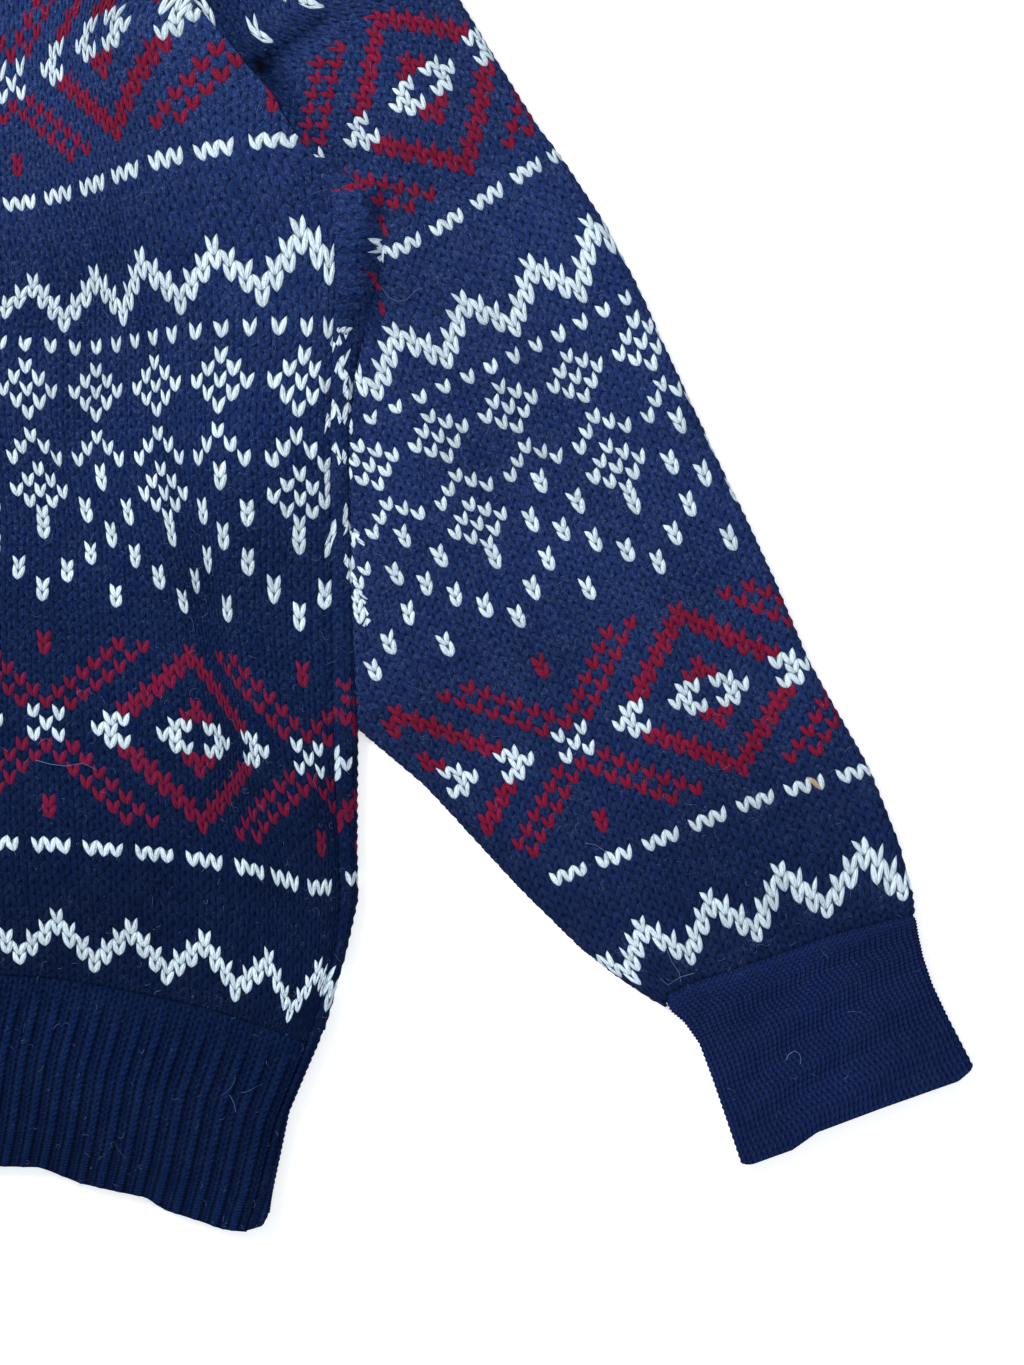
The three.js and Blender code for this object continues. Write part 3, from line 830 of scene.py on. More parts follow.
def tube_place(inner, outer, under, share, cap, depth, ridge=0):
    """Place on a flattened tube: share 0 to 1 runs over the top from inner to outer, 1 to 2 back below."""
    over = share <= 1
    start = np.where(over[:, None], inner, under)
    run = np.where(over, share, 2 - share)
    length = np.hypot(*(outer - start).T)
    arc = math.pi / 2 * FOLD_RADIUS
    inner_arc = np.where(cap, 0, arc)
    inner_round = np.where(cap, 0, FOLD_RADIUS)
    total = length - FOLD_RADIUS - inner_round + arc + inner_arc
    path = run * total
    outer_angle = np.clip((total - path) / FOLD_RADIUS, 0, math.pi / 2)
    inner_angle = np.where(cap, math.pi / 2, np.clip(path / FOLD_RADIUS, 0, math.pi / 2))
    flat = np.clip(path - inner_arc, 0, total - inner_arc - arc)
    distance = flat + inner_round - np.where(cap, 0, FOLD_RADIUS * np.cos(inner_angle))
    distance = distance + FOLD_RADIUS * np.cos(outer_angle)
    outwards = np.cos(outer_angle) - np.cos(inner_angle)
    upwards = np.minimum(np.sin(outer_angle), np.sin(inner_angle))
    direction = (outer - start) / length[:, None]
    lifted = depth + ridge
    plan = start + direction * (distance + lifted * outwards)[:, None]
    top = top_height(plan[:, 0], plan[:, 1])
    sign = np.where(over, 1, -1)
    z = top * 0.5 * (1 + sign * upwards) + sign * lifted * upwards
    return np.column_stack((plan, z))


class SleeveNet:
    """Turns a stitch number into its share of the way across the flattened sleeve."""

    def __init__(self):
        self.rows = np.array([course[0] for course in SLEEVE_COURSES], float)
        self.lines = []
        for _, inner, outer, stops in SLEEVE_COURSES:
            inner, run = np.array(inner, float), np.subtract(outer, inner).astype(float)
            length = math.hypot(*run)
            shares, bows = [], []
            for _, x, y in stops:
                off = np.array((x, y)) - inner
                shares.append(off @ run / length ** 2)
                bows.append((run[0] * off[1] - run[1] * off[0]) / length)
            stitches = [stop[0] for stop in stops]
            start = stitches[0] - shares[0] * (stitches[1] - stitches[0]) / (shares[1] - shares[0])
            tail = (stitches[-1] - stitches[-2]) / (shares[-1] - shares[-2])
            end = stitches[-1] + (1 - shares[-1]) * tail
            if stops[0][1] == inner[0]:
                start = stitches[0]
            self.lines.append((np.array([start, *stitches, end]), np.array([0, *shares, 1]),
                               np.array([0, *bows, 0])))
        self.firsts = [line[0][0] for line in self.lines]
        self.folds = [line[0][-1] for line in self.lines]

    def between(self, row, values):
        """Blends one value for each course to the courses on either side of a row."""
        order = np.argsort(self.rows)
        rows = self.rows[order]
        near = np.clip(np.searchsorted(rows, row, side="right") - 1, 0, len(rows) - 2)
        part = np.clip((row - rows[near]) / (rows[near + 1] - rows[near]), 0, 1)
        values = np.array(values)[order]
        spots = np.arange(len(row))
        return values[near, spots] * (1 - part) + values[near + 1, spots] * part

    def share(self, stitch, row):
        shares, bows = [], []
        for stops, places, _ in self.lines:
            pitch = stops[-1] - stops[0]
            over = np.interp(stitch, stops, places)
            past = np.maximum(stitch - stops[-1], 0) / pitch
            before = np.minimum(stitch - stops[0], 0) / pitch
            shares.append(over + past + before)
        share = self.between(row, shares)
        on_top = np.where(share > 1, 2 - share, share)
        for _, places, bow in self.lines:
            bows.append(np.interp(on_top, places, bow))
        return np.clip(share, 0, 2), self.between(row, bows)


def facing_back(level):
    """Points on the back's raglan that face places along the front's raglan."""
    marks = np.arange(len(BACK_RAGLAN))
    run = np.interp(level, along([point[1] for point in FRONT_RAGLAN]), marks)
    columns, levels = zip(*BACK_RAGLAN)
    return np.column_stack((np.interp(run, marks, across(columns) + 0.3),
                            np.interp(run, marks, along(levels))))


def lay_sleeve(side, net):
    rows = [course[0] for course in SLEEVE_COURSES]

    def sleeve_line(row, which):
        ends = [course[which] for course in SLEEVE_COURSES]
        column = table_at(rows, row, [end[0] for end in ends])
        return np.column_stack((across(column), along(table_at(rows, row, [end[1] for end in ends]))))

    def lay(stitch, row, depth):
        shifted = np.clip(row - HALF_ROW + unevenness(stitch, row, 7, 0.05), rows[-1], rows[0])
        wale = stitch - HALF_STITCH + unevenness(stitch, row, 8, 0.045)
        inner, outer = sleeve_line(shifted, 1), sleeve_line(shifted, 2)
        cap = shifted < CAP_ROW
        under = np.where(cap[:, None], facing_back(inner[:, 1]), inner)
        share, bow = net.share(wale, shifted)
        placed = tube_place(inner, outer, under, share, cap, depth)
        slant = (outer - inner) / np.hypot(*(outer - inner).T)[:, None]
        placed[:, 0] += bow * STEP * slant[:, 1]
        placed[:, 1] -= bow * STEP * slant[:, 0]
        gap = np.minimum(share, 2 - share) * 20 * STITCH
        on_top = share < 1
        placed[:, 2] -= np.where(cap & on_top, sink_at_seam(gap, 1.7, 6), 0)
        placed[:, 2] -= np.where(on_top, sink_at_seam((rows[0] - shifted) * ROW, 0.9), 0)
        placed[:, 0] *= side
        return placed

    return lay


def rib_profile(stitch, rise, row):
    """Ribs stand on every other stitch with a low purl ridge between, deepening below the first rows."""
    turn = math.pi / 2 * (stitch - 0.5)
    crest = np.abs(np.cos(turn)) ** 4 + 0.35 * np.abs(np.sin(turn)) ** 4
    return 2 * rise * (crest - 1) * np.clip(row / 5, 0.1, 1)


def hem_line(share, end, part=0):
    """Column of the hem's fold or seam, from the body down to the free edge; its level where part is 1."""
    shares = np.linspace(0, 1, len(HEM_ROWS))[::-1]
    return table_at(shares, share, [row[end][part] for row in HEM_ROWS])


def rib_level(share, x):
    """Level of a course across the hem, from the body's last course down to the loose edge."""
    out = np.abs(x) / STEP / (hem_line(share, SEAM) - CENTRE_COLUMN)
    seam_top, seam_end = HEM_ROWS[-1][SEAM], HEM_ROWS[0][SEAM]
    last_course = [stop[1:] for stop in FRONT_COURSES[0][2]]
    joined = [(CENTRE_COLUMN, FRONT_COURSES[0][1]), *last_course, HEM_ROWS[-1][FOLD]]
    top = np.interp(CENTRE_COLUMN + out * (seam_top[0] - CENTRE_COLUMN), *zip(*joined))
    edge = np.interp(CENTRE_COLUMN + out * (seam_end[0] - CENTRE_COLUMN), *zip(*RIB_EDGE))
    blend = np.clip((hem_line(share, SEAM, 1) - seam_top[1]) / (seam_end[1] - seam_top[1]), 0, 1)
    return along(top * (1 - blend) + edge * blend)


def tucked_in(row):
    """How far a rib's first rows reach in under the body's last course, in millimetres."""
    return 2.2 * np.exp(-(((row + 1) / 1.6) ** 2))


def lay_hem_front(stitch, row, depth):
    share = np.clip(row / HEM_RIB_ROWS, 0, 1)
    x = (2 * stitch / HEM_STITCHES - 1) * across(hem_line(share, SEAM))
    y = rib_level(share, x) + tucked_in(row)
    gap = np.minimum(stitch, HEM_STITCHES - stitch) * STITCH
    lifted = depth + rib_profile(stitch, HEM_RISE, row) - 0.3 * tucked_in(row)
    z = top_height(x, y) + lifted - sink_at_seam(gap)
    return np.column_stack((x, y, z))


def lay_hem_back(stitch, row, depth):
    share = np.clip(row / HEM_RIB_ROWS, 0, 1)
    half = HEM_BACK_STITCHES / 2
    aside = stitch - half
    flat = across(hem_line(share, FOLD)) - FOLD_RADIUS
    turned = flat + math.pi * FOLD_RADIUS
    path = np.abs(aside) / half * (turned + flat - across(hem_line(share, SEAM)))
    x = np.where(path < flat, path, np.maximum(flat - (path - turned), 0))
    y = rib_level(share * 0.985, x) + 1.6 * tucked_in(row)
    lifted = depth + rib_profile(stitch, HEM_RISE * 0.6, row)
    return wrap_round(path, flat, FOLD_RADIUS, np.sign(aside), y, lifted)


def cuff_wave(row, over):
    """Sway of the fine ribs in stitches, none at the folds and at the seam."""
    sway = row * 0.72 + over * 6 + 0.9 * np.sin(row * 0.2)
    return 0.7 * np.sin(sway) * np.sin(math.pi * over) * np.clip(row / 8, 0, 1)


def cuff_reach(row, share, over):
    """How far a spot lies down the arm from its section, at the free edge and at the bowed, tucked seam."""
    edge = read_table(CUFF_EDGE_REACH, over, 1) * share ** 3
    seam = read_table(CUFF_SEAM_BOW, over, 1) * (1 - share) ** 3
    return edge - seam - 1.6 * np.exp(-(((row + 1) / 1.6) ** 2))


def lay_cuff(side):
    shares = np.linspace(0, 1, len(CUFF_SECTIONS))

    def fold_line(share, which):
        column = np.interp(share, shares, [section[which][0] for section in CUFF_SECTIONS])
        level = np.interp(share, shares, [section[which][1] for section in CUFF_SECTIONS])
        return np.column_stack((across(column), along(level)))

    def lay(stitch, row, depth):
        share = np.clip(row / CUFF_ROWS, 0, 1)
        inner, outer = fold_line(share, 0), fold_line(share, 1)
        ring = stitch / CUFF_STITCHES * 2
        over = np.minimum(ring, 2 - ring)
        ring = np.clip(ring + 2 * cuff_wave(row, over) / CUFF_STITCHES, 0, 2)
        ridge = CUFF_RISE * (np.abs(np.sin(math.pi * stitch)) - 1) - 1.3 * np.exp(-((row / 1.6) ** 2))
        placed = tube_place(inner, outer, inner, ring, np.zeros(len(stitch), bool), depth, ridge)
        placed[:, :2] += np.outer(cuff_reach(row, share, over), DOWN_CUFF)
        placed[:, 0] *= side
        return placed

    return lay


def neck_seam(run, raglan_end, centre_level):
    """The band's seam from the middle of the neckline to the raglan, then across the shoulder to the fold."""
    neckline = np.clip(np.abs(run) / (1 - NECK_SHOULDER), 0, 1)
    shoulder = np.clip((np.abs(run) - (1 - NECK_SHOULDER)) / NECK_SHOULDER, 0, 1)
    end_x, end_y = across(raglan_end[0]), along(raglan_end[1])
    centre_y = along(centre_level)
    x = neckline * end_x + (NECK_FOLD[0] - end_x) * shoulder
    y = centre_y + (end_y - centre_y) * neckline ** 2 + (NECK_FOLD[1] - end_y) * shoulder
    return x, y


def lay_neckband(stitch, row, depth):
    front = stitch <= NECK_FRONT_STITCHES
    run = np.where(front, -1 + 2 * stitch / NECK_FRONT_STITCHES,
                   1 - 2 * (stitch - NECK_FRONT_STITCHES) / NECK_BACK_STITCHES)
    x, y = np.where(front, neck_seam(run, FRONT_RAGLAN[-1], FRONT_NECK_LEVEL),
                    neck_seam(run, BACK_RAGLAN[-1], BACK_NECK_LEVEL))
    share = 1 - np.clip(row / NECK_ROWS, 0, 1)
    lift = NECK_WIDTH + (NECK_FREE[1] - NECK_FOLD[1] - NECK_WIDTH) * run ** 2
    x = x * (1 + (NECK_FREE[0] / NECK_FOLD[0] - 1) * share) * np.sign(run + 1e-9)
    corner = np.clip((np.abs(run) - 0.82) / 0.18, 0, 1)
    tucked = 2.4 * np.exp(-(((NECK_ROWS - row) / 1.1) ** 2))
    y = y + (lift - NECK_CORNER * corner ** 2) * share - tucked * (1 - corner)
    bend = np.abs(run) ** 14
    level = np.sqrt(np.clip(1 - bend, 0, 1)) * np.where(front, 1, -1)
    lifted = depth + rib_profile(stitch, NECK_RISE, row) - 0.25 * tucked
    z = LAID_HEIGHT / 2 * (1 + level) + lifted * level
    return np.column_stack((x + np.sign(run) * lifted * bend, y, z))


def node(tree, kind, place, **values):
    made = tree.nodes.new(kind)
    made.location = place
    for key, value in values.items():
        if key in made.inputs:
            made.inputs[key].default_value = value
        else:
            setattr(made, key, value)
    return made


def calc(tree, operation, *terms):
    """A maths node fed by sockets or plain numbers."""
    made = tree.nodes.new("ShaderNodeMath")
    made.operation = operation
    for slot, term in zip(made.inputs, terms):
        if isinstance(term, (int, float)):
            slot.default_value = term
        else:
            tree.links.new(term, slot)
    return made.outputs[0]


def spread(tree, value, low, high, out_low, out_high):
    made = node(tree, "ShaderNodeMapRange", (-500, -300), interpolation_type="SMOOTHSTEP")
    for name, number in zip(("From Min", "From Max", "To Min", "To Max"), (low, high, out_low, out_high)):
        made.inputs[name].default_value = number
    tree.links.new(value, made.inputs["Value"])
    return made.outputs["Result"]


def leg_of_stitch(tree, uv, drop):
    """How far a spot lies from the middle of its stitch leg, and a line count across its plies."""
    parts = node(tree, "ShaderNodeSeparateXYZ", (-1200, 300))
    tree.links.new(uv, parts.inputs[0])
    across_stitch = calc(tree, "MULTIPLY_ADD", calc(tree, "FRACT", parts.outputs["X"]), 2.0, -1.0)
    inwards = calc(tree, "SUBTRACT", 1.0, calc(tree, "ABSOLUTE", across_stitch))
    row = calc(tree, "MULTIPLY_ADD", inwards, -drop, calc(tree, "MULTIPLY", parts.outputs["Y"], -1.0))
    along_leg = calc(tree, "MULTIPLY_ADD", inwards, 2.0, -1.0)
    over_leg = calc(tree, "MULTIPLY_ADD", calc(tree, "FRACT", row), 2.0, -1.0)
    squares = calc(tree, "ADD", product(tree, along_leg, along_leg), product(tree, over_leg, over_leg))
    skewed = calc(tree, "MULTIPLY_ADD", product(tree, along_leg, over_leg), -0.7, squares)
    leg_number = node(tree, "ShaderNodeCombineXYZ", (-1000, 400))
    tree.links.new(calc(tree, "FLOOR", calc(tree, "MULTIPLY", parts.outputs["X"], 2.0)),
                   leg_number.inputs["X"])
    tree.links.new(calc(tree, "FLOOR", row), leg_number.inputs["Y"])
    odd = node(tree, "ShaderNodeTexWhiteNoise", (-900, 400), noise_dimensions="2D")
    tree.links.new(leg_number.outputs["Vector"], odd.inputs["Vector"])
    plies = calc(tree, "SUBTRACT", along_leg, product(tree, over_leg, 0.55))
    return skewed, plies, odd.outputs["Value"]


def noise_at(tree, vector, height, **values):
    noise = node(tree, "ShaderNodeTexNoise", (-1000, height), **values)
    tree.links.new(vector, noise.inputs["Vector"])
    return noise.outputs["Fac"]


def product(tree, *terms):
    """Multiplies sockets or plain numbers, one after another."""
    total = terms[0]
    for term in terms[1:]:
        total = calc(tree, "MULTIPLY", total, term)
    return total


def mixed(tree, factor, first, second, place):
    """Mixes a colour socket with a plain colour."""
    mix = node(tree, "ShaderNodeMix", place, data_type="RGBA")
    tree.links.new(factor, mix.inputs["Factor"])
    tree.links.new(first, mix.inputs["A"])
    mix.inputs["B"].default_value = (*second, 1)
    return mix.outputs["Result"]


def knit_tone_and_gap_shade(tree, chance, plies, between, strands, patches, gap):
    """Light and dark of the knitting: painted shade in the gaps between legs, plies, strands and an uneven
    dye.
    """
    return product(
        tree,
        spread(tree, strands, 0.3, 0.7, 0.78, 1.2),
        spread(tree, patches, 0.3, 0.7, 0.86, 1.14),
        # Painted shade in the gaps between legs
        calc(tree, "MULTIPLY_ADD", between, gap - 1, 1.06),
        calc(tree, "MULTIPLY_ADD", plies, 0.10, 1.0),
        calc(tree, "MULTIPLY_ADD", chance, 0.26, 0.90),
    )


def rib_painted_light(tree, uv, period, ribs):
    """Painted light on the crests of the ribs and painted shade in the troughs between them, growing over a
    rib's first rows.
    """
    corner = node(tree, "ShaderNodeSeparateXYZ", (-1200, 560))
    tree.links.new(uv, corner.inputs[0])
    swell = calc(tree, "COSINE",
                 product(tree, calc(tree, "SUBTRACT", corner.outputs["X"], 0.5), math.tau / period))
    crest = spread(tree, swell, 0.25, 1.0, 1 - ribs * 0.5, 1 + ribs)
    if period > 1:
        crest = calc(tree, "ADD", crest, spread(tree, swell, -0.4, -1.0, 0.0, ribs * 0.8))
    begun = spread(tree, product(tree, corner.outputs["Y"], -1.0), 1.0, 7.0, 0.0, 1.0)
    return calc(tree, "MULTIPLY_ADD", calc(tree, "SUBTRACT", crest, 1.0), begun, 1.0)


def dyed_yarn(tree, settings, between, painted_top_light, painted_light_shade):
    """Colour of the chart's yarns, with ground yarn and painted shade between pale legs, how pale it is, and
    the painted light and shade on the navy there.
    """
    dye = node(tree, "ShaderNodeVertexColor", (-760, 240), layer_name="Yarn")
    parts = node(tree, "ShaderNodeSeparateColor", (-560, 300))
    tree.links.new(dye.outputs["Color"], parts.inputs[0])
    pale = calc(tree, "MINIMUM", product(tree, parts.outputs["Red"], 5.0), 1.0)
    # Painted shade on the navy: darker lower down and where the Tone attribute darkens it, pale yarns left as
    # they are
    dark = calc(tree, "MULTIPLY_ADD", calc(tree, "SUBTRACT", 1.0, painted_top_light), -0.50, 1.06)
    dark = product(tree, dark, painted_light_shade)
    navy_painted_shade = calc(tree, "MULTIPLY_ADD", calc(tree, "SUBTRACT", 1.0, dark), pale, dark)
    # Ground yarn shows between pale legs, together with painted shade in those gaps
    ground = product(tree, between, pale, settings.gap)
    parted = mixed(tree, ground, dye.outputs["Color"], settings.navy, (-400, 300))
    # Where its painted shade is darkest the navy turns a deeper blue
    depth = product(tree, calc(tree, "SUBTRACT", 1.0, painted_light_shade), calc(tree, "SUBTRACT", 1.0, pale))
    return mixed(tree, depth, parted, settings.painted_shade_navy, (-380, 460)), pale, navy_painted_shade


def fibre_specks(tree, settings, place, fuzz, painted_top_light, painted_light_shade, amount):
    """Share of pale fibre at a spot: fine specks, and curled wisps that lie in clumps, fewer where the
    painted light is dimmer.
    """
    curls = noise_at(tree, place, -1100, Scale=430.0, Detail=1.5, Distortion=1.3)
    clumps = noise_at(tree, place, -1300, Scale=95.0, Detail=2.0)
    middle = calc(tree, "ABSOLUTE", calc(tree, "SUBTRACT", curls, 0.5))
    wisps = product(
        tree,
        spread(tree, middle, 0.004, 0.026, 0.85, 0.0),
        spread(tree, clumps, 0.42, 0.66, 0.0, settings.heather),
        calc(tree, "MULTIPLY_ADD", painted_light_shade, 1.1, -0.25),
        amount,
    )
    speckled = product(tree, calc(tree, "MULTIPLY_ADD", painted_top_light, 0.88, 0.12), painted_light_shade)
    specks = product(tree, spread(tree, fuzz, 0.48, 0.76, 0.0, settings.heather), speckled)
    return calc(tree, "MAXIMUM", specks, wisps)


def matt_surface(tree, colour, height):
    """Dull wool with a faint blue sheen, raised by a height and joined to the material's output."""
    bump = node(tree, "ShaderNodeBump", (-160, -300), Strength=0.7, Distance=0.0008)
    tree.links.new(height, bump.inputs["Height"])
    shader = node(tree, "ShaderNodeBsdfPrincipled", (80, 0), **MATT_WOOL)
    tree.links.new(colour, shader.inputs["Base Color"])
    tree.links.new(bump.outputs["Normal"], shader.inputs["Normal"])
    out = node(tree, "ShaderNodeOutputMaterial", (340, 0))
    tree.links.new(shader.outputs["BSDF"], out.inputs["Surface"])


def wool_material(name, settings, base=None, period=2, ribs=0.0, gap=0.34):
    """Matt wool: yarn from the chart or one dye, painted shade in the gaps between stitch legs, painted light
    and shade by place and on rib crests, twisted plies and fuzz.
    """
    material = bpy.data.materials.new(name)
    material.use_nodes = True
    tree = material.node_tree
    tree.nodes.clear()
    uv = node(tree, "ShaderNodeUVMap", (-1400, 0), uv_map="Stitches").outputs["UV"]
    place = node(tree, "ShaderNodeTexCoord", (-1400, -300)).outputs["Object"]
    leg, ply, chance = leg_of_stitch(tree, uv, settings.drop)
    stretch = node(tree, "ShaderNodeMapping", (-1200, 0), Scale=(7, 2.6, 1))
    tree.links.new(uv, stretch.inputs["Vector"])
    strands = noise_at(tree, stretch.outputs["Vector"], 0, Scale=1.0, Detail=4.0, Roughness=0.65)
    patches = noise_at(tree, place, -300, Scale=14.0, Detail=3.0, Roughness=0.5)
    fuzz = noise_at(tree, place, -560, Scale=700.0, Detail=3.0, Roughness=0.7)
    plies = calc(tree, "SINE", calc(tree, "MULTIPLY_ADD", strands, 4.0, product(tree, ply, 7.0)))
    between = spread(tree, leg, 0.5, 1.7, 0.0, 1.0)
    tone = knit_tone_and_gap_shade(tree, chance, plies, between, strands, patches, gap)
    if ribs:
        tone = product(tree, tone, rib_painted_light(tree, uv, period, ribs))

    spot = node(tree, "ShaderNodeSeparateXYZ", (-1000, -760))
    tree.links.new(place, spot.inputs[0])
    # Painted light: lighter towards the top of the jumper, where the window light is strongest
    painted_top_light = spread(tree, spot.outputs["Y"], -0.30, 0.0, 0.0, 1.0)
    # Painted light and shade by place, read from the Tone attribute
    painted_light_shade = node(tree, "ShaderNodeAttribute", (-1000, -900), attribute_name="Tone").outputs["Fac"]
    specks = fibre_specks(tree, settings, place, fuzz, painted_top_light, painted_light_shade, 1.0 if base is None else 0.3)
    shade = node(tree, "ShaderNodeVectorMath", (-360, 100), operation="SCALE")
    if base is None:
        yarn, pale, navy_painted_shade = dyed_yarn(tree, settings, between, painted_top_light, painted_light_shade)
        tree.links.new(yarn, shade.inputs[0])
        tone = product(tree, tone, navy_painted_shade)
        specks = product(tree, specks, calc(tree, "MULTIPLY_ADD", pale, -0.85, 1.0))
    else:
        shade.inputs[0].default_value = base
    tree.links.new(tone, shade.inputs["Scale"])
    colour = mixed(tree, specks, shade.outputs["Vector"], settings.fibre, (-160, 60))

    grain = calc(tree, "MULTIPLY_ADD", fuzz, 0.5, product(tree, strands, 0.5))
    grain = calc(tree, "MULTIPLY_ADD", plies, 0.1, grain)
    matt_surface(tree, colour, calc(tree, "ADD", product(tree, leg, -0.45), grain))
    return material


def material_named(name, make):
    return bpy.data.materials.get(name) or make()


def body_wool(settings):
    return material_named("stranded wool", lambda: wool_material("stranded wool", settings))


def rib_wool(settings):
    return material_named("rib wool",
                          lambda: wool_material("rib wool", settings, tuple(settings.rib_navy), 2, 0.6))


def cuff_wool(settings):
    dye = tuple(settings.cuff_navy)
    return material_named("fine wool", lambda: wool_material("fine wool", settings, dye, 1, 0.45, 0.8))


class JumperSettings(bpy.types.PropertyGroup):
    cloth: FloatProperty(
        name="Cloth", description="Thickness of the knitted cloth", default=0.0019, unit="LENGTH",
    )
    relief: FloatProperty(
        name="Relief", description="How far a stitch's leg rounds up", default=0.00065, unit="LENGTH",
    )
    drop: FloatProperty(name="Leg drop", description="How far a stitch points down, in rows", default=0.46)
    # Ground yarn showing between pale legs, with painted shade in those gaps
    gap: FloatProperty(
        name="Ground between", description="How much ground yarn shows between pale legs", default=0.72,
    )
    heather: FloatProperty(name="Heather", description="Share of pale fibre in the specks", default=0.6)
    fibres: IntProperty(name="Loose fibres", description="Fine hairs standing off the wool", default=5200)
    navy: FloatVectorProperty(
        name="Navy", description="Ground yarn", subtype="COLOR", default=(0.0078, 0.0202, 0.085),
    )
    # Colour of the navy's painted shade where it is darkest
    painted_shade_navy: FloatVectorProperty(
        name="Deep navy", description="Ground yarn where it lies darkest",
        subtype="COLOR", default=(0.0004, 0.0172, 0.094),
    )
    ivory: FloatVectorProperty(
        name="Ivory", description="Pale yarn", subtype="COLOR", default=(0.500, 0.610, 0.690),
    )
    red: FloatVectorProperty(
        name="Red", description="Dark red yarn", subtype="COLOR", default=(0.160, 0.0056, 0.0235),
    )
    tan: FloatVectorProperty(
        name="Tan", description="A caught fleck of tan wool", subtype="COLOR", default=(0.42, 0.33, 0.21),
    )
    rib_navy: FloatVectorProperty(
        name="Rib navy", description="Darker yarn of hem and neckband",
        subtype="COLOR", default=(0.0014, 0.0075, 0.0370),
    )
    cuff_navy: FloatVectorProperty(
        name="Cuff navy", description="Fine yarn of the cuffs",
        subtype="COLOR", default=(0.0058, 0.0149, 0.072),
    )
    fibre: FloatVectorProperty(
        name="Fibre", description="Fine hairs", subtype="COLOR", default=(0.075, 0.110, 0.23),
    )


CHART = fair_isle_chart()


def yarn_at(stitch, row):
    return int(CHART[row % CHART_ROWS, stitch % CHART_STITCHES]) if row < RIB_ROW else NAVY


def back_yarn_at(stitch, row):
    """The back's pattern, left plain beside the side seam where only stray stitches show."""
    return NAVY if abs(stitch + 0.5) > BACK_RAGLAN_STITCHES[0][1] and -8 < row < 31 else yarn_at(stitch, row)


def plain(stitch, row):
    return NAVY


def from_middles(line):
    """A line through the middles of stitches, moved to where their cells lie in the flat knit."""
    return [(stitch + HALF_STITCH, row + HALF_ROW) for stitch, row in line]


class JUMPER_OT_front(bpy.types.Operator):
    """Knit the front panel"""
    bl_idname = "jumper.front"
    bl_label = "Front"

    def execute(self, context):
        settings = context.scene.jumper
        net = FrontNet()

        def outside(stitch, row):
            stitch, row = stitch - HALF_STITCH, row - HALF_ROW
            limit = net.limit(row)
            return (stitch > limit) | (stitch < mirrored_wale(limit)) | (row < read_table(FRONT_NECK, stitch,
                                                                                          1))

        left = [(mirrored_wale(stitch), row) for stitch, row in net.raglan]
        cuts = [from_middles(line) for line in (net.raglan, left, FRONT_NECK)]
        first, top = -87, -61
        bm = flat_knit(first, FRONT_CUT[0], top, RIB_ROW + 1 - top, settings.drop, yarn_at, cuts, outside)
        knit_piece("front_knit", bm, settings, lay_front(net), body_wool(settings),
                   FRONT_PAINTED_SHADES)
        return {"FINISHED"}


class JUMPER_OT_back(bpy.types.Operator):
    """Knit the back panel, which wraps round both sides"""
    bl_idname = "jumper.back"
    bl_label = "Back"

    def execute(self, context):
        settings = context.scene.jumper

        def outside(stitch, row):
            row = row - HALF_ROW
            limit = np.where(row > UNDERARM_ROW, BACK_HALF, read_table(BACK_RAGLAN_STITCHES, row, 1))
            return (np.abs(stitch) > limit) | (row < read_table(BACK_NECK, stitch, 1))

        right = [(stitches, row) for row, stitches in BACK_RAGLAN_STITCHES]
        under = [(BACK_HALF + 2, UNDERARM_ROW), right[0]]
        left, left_under = ([(-stitch, row) for stitch, row in line] for line in (right, under))
        lines = [right, left, BACK_NECK, under, left_under]
        cuts = [[(stitch, row + HALF_ROW) for stitch, row in line] for line in lines]
        half, top = math.ceil(BACK_HALF), -70
        bm = flat_knit(-half, 2 * half, top, RIB_ROW + 1 - top, settings.drop, back_yarn_at, cuts, outside)
        knit_piece("back_knit", bm, settings, lay_back, body_wool(settings),
                   painted_shades=BACK_PAINTED_SHADES)
        return {"FINISHED"}


class JUMPER_OT_sleeves(bpy.types.Operator):
    """Knit both raglan sleeves, each a flattened tube"""
    bl_idname = "jumper.sleeves"
    bl_label = "Sleeves"

    def execute(self, context):
        settings = context.scene.jumper
        net = SleeveNet()
        rows, firsts = net.rows, net.firsts
        lasts = [2 * fold - first for first, fold in zip(net.firsts, net.folds)]

        def outside(stitch, row):
            stitch, row = stitch - HALF_STITCH, row - HALF_ROW
            past_sides = (stitch < table_at(rows, row, firsts)) | (stitch > table_at(rows, row, lasts))
            return past_sides | (row < rows[-1]) | (row > rows[0])

        def sleeve_yarn_at(stitch, row):
            """Pattern of the sleeve, plain by the neckband and along the lower underarm seam."""
            seam = table_at(rows, row, firsts) + 2 if row > 22 else -99
            patterned = row > 53 or (row > -67 and stitch > seam)
            return yarn_at(stitch, row) if patterned else NAVY

        cuts = [from_middles(zip(side, rows)) for side in (firsts, lasts)]
        first, top = -17, -73
        for side, name in SIDES:
            bm = flat_knit(first, 76, top, RIB_ROW + 2 - top, settings.drop, sleeve_yarn_at, cuts, outside)
            knit_piece(f"sleeve_{name}_knit", bm, settings, lay_sleeve(side, net), body_wool(settings),
                       painted_shades=SLEEVE_PAINTED_SHADES)
        return {"FINISHED"}


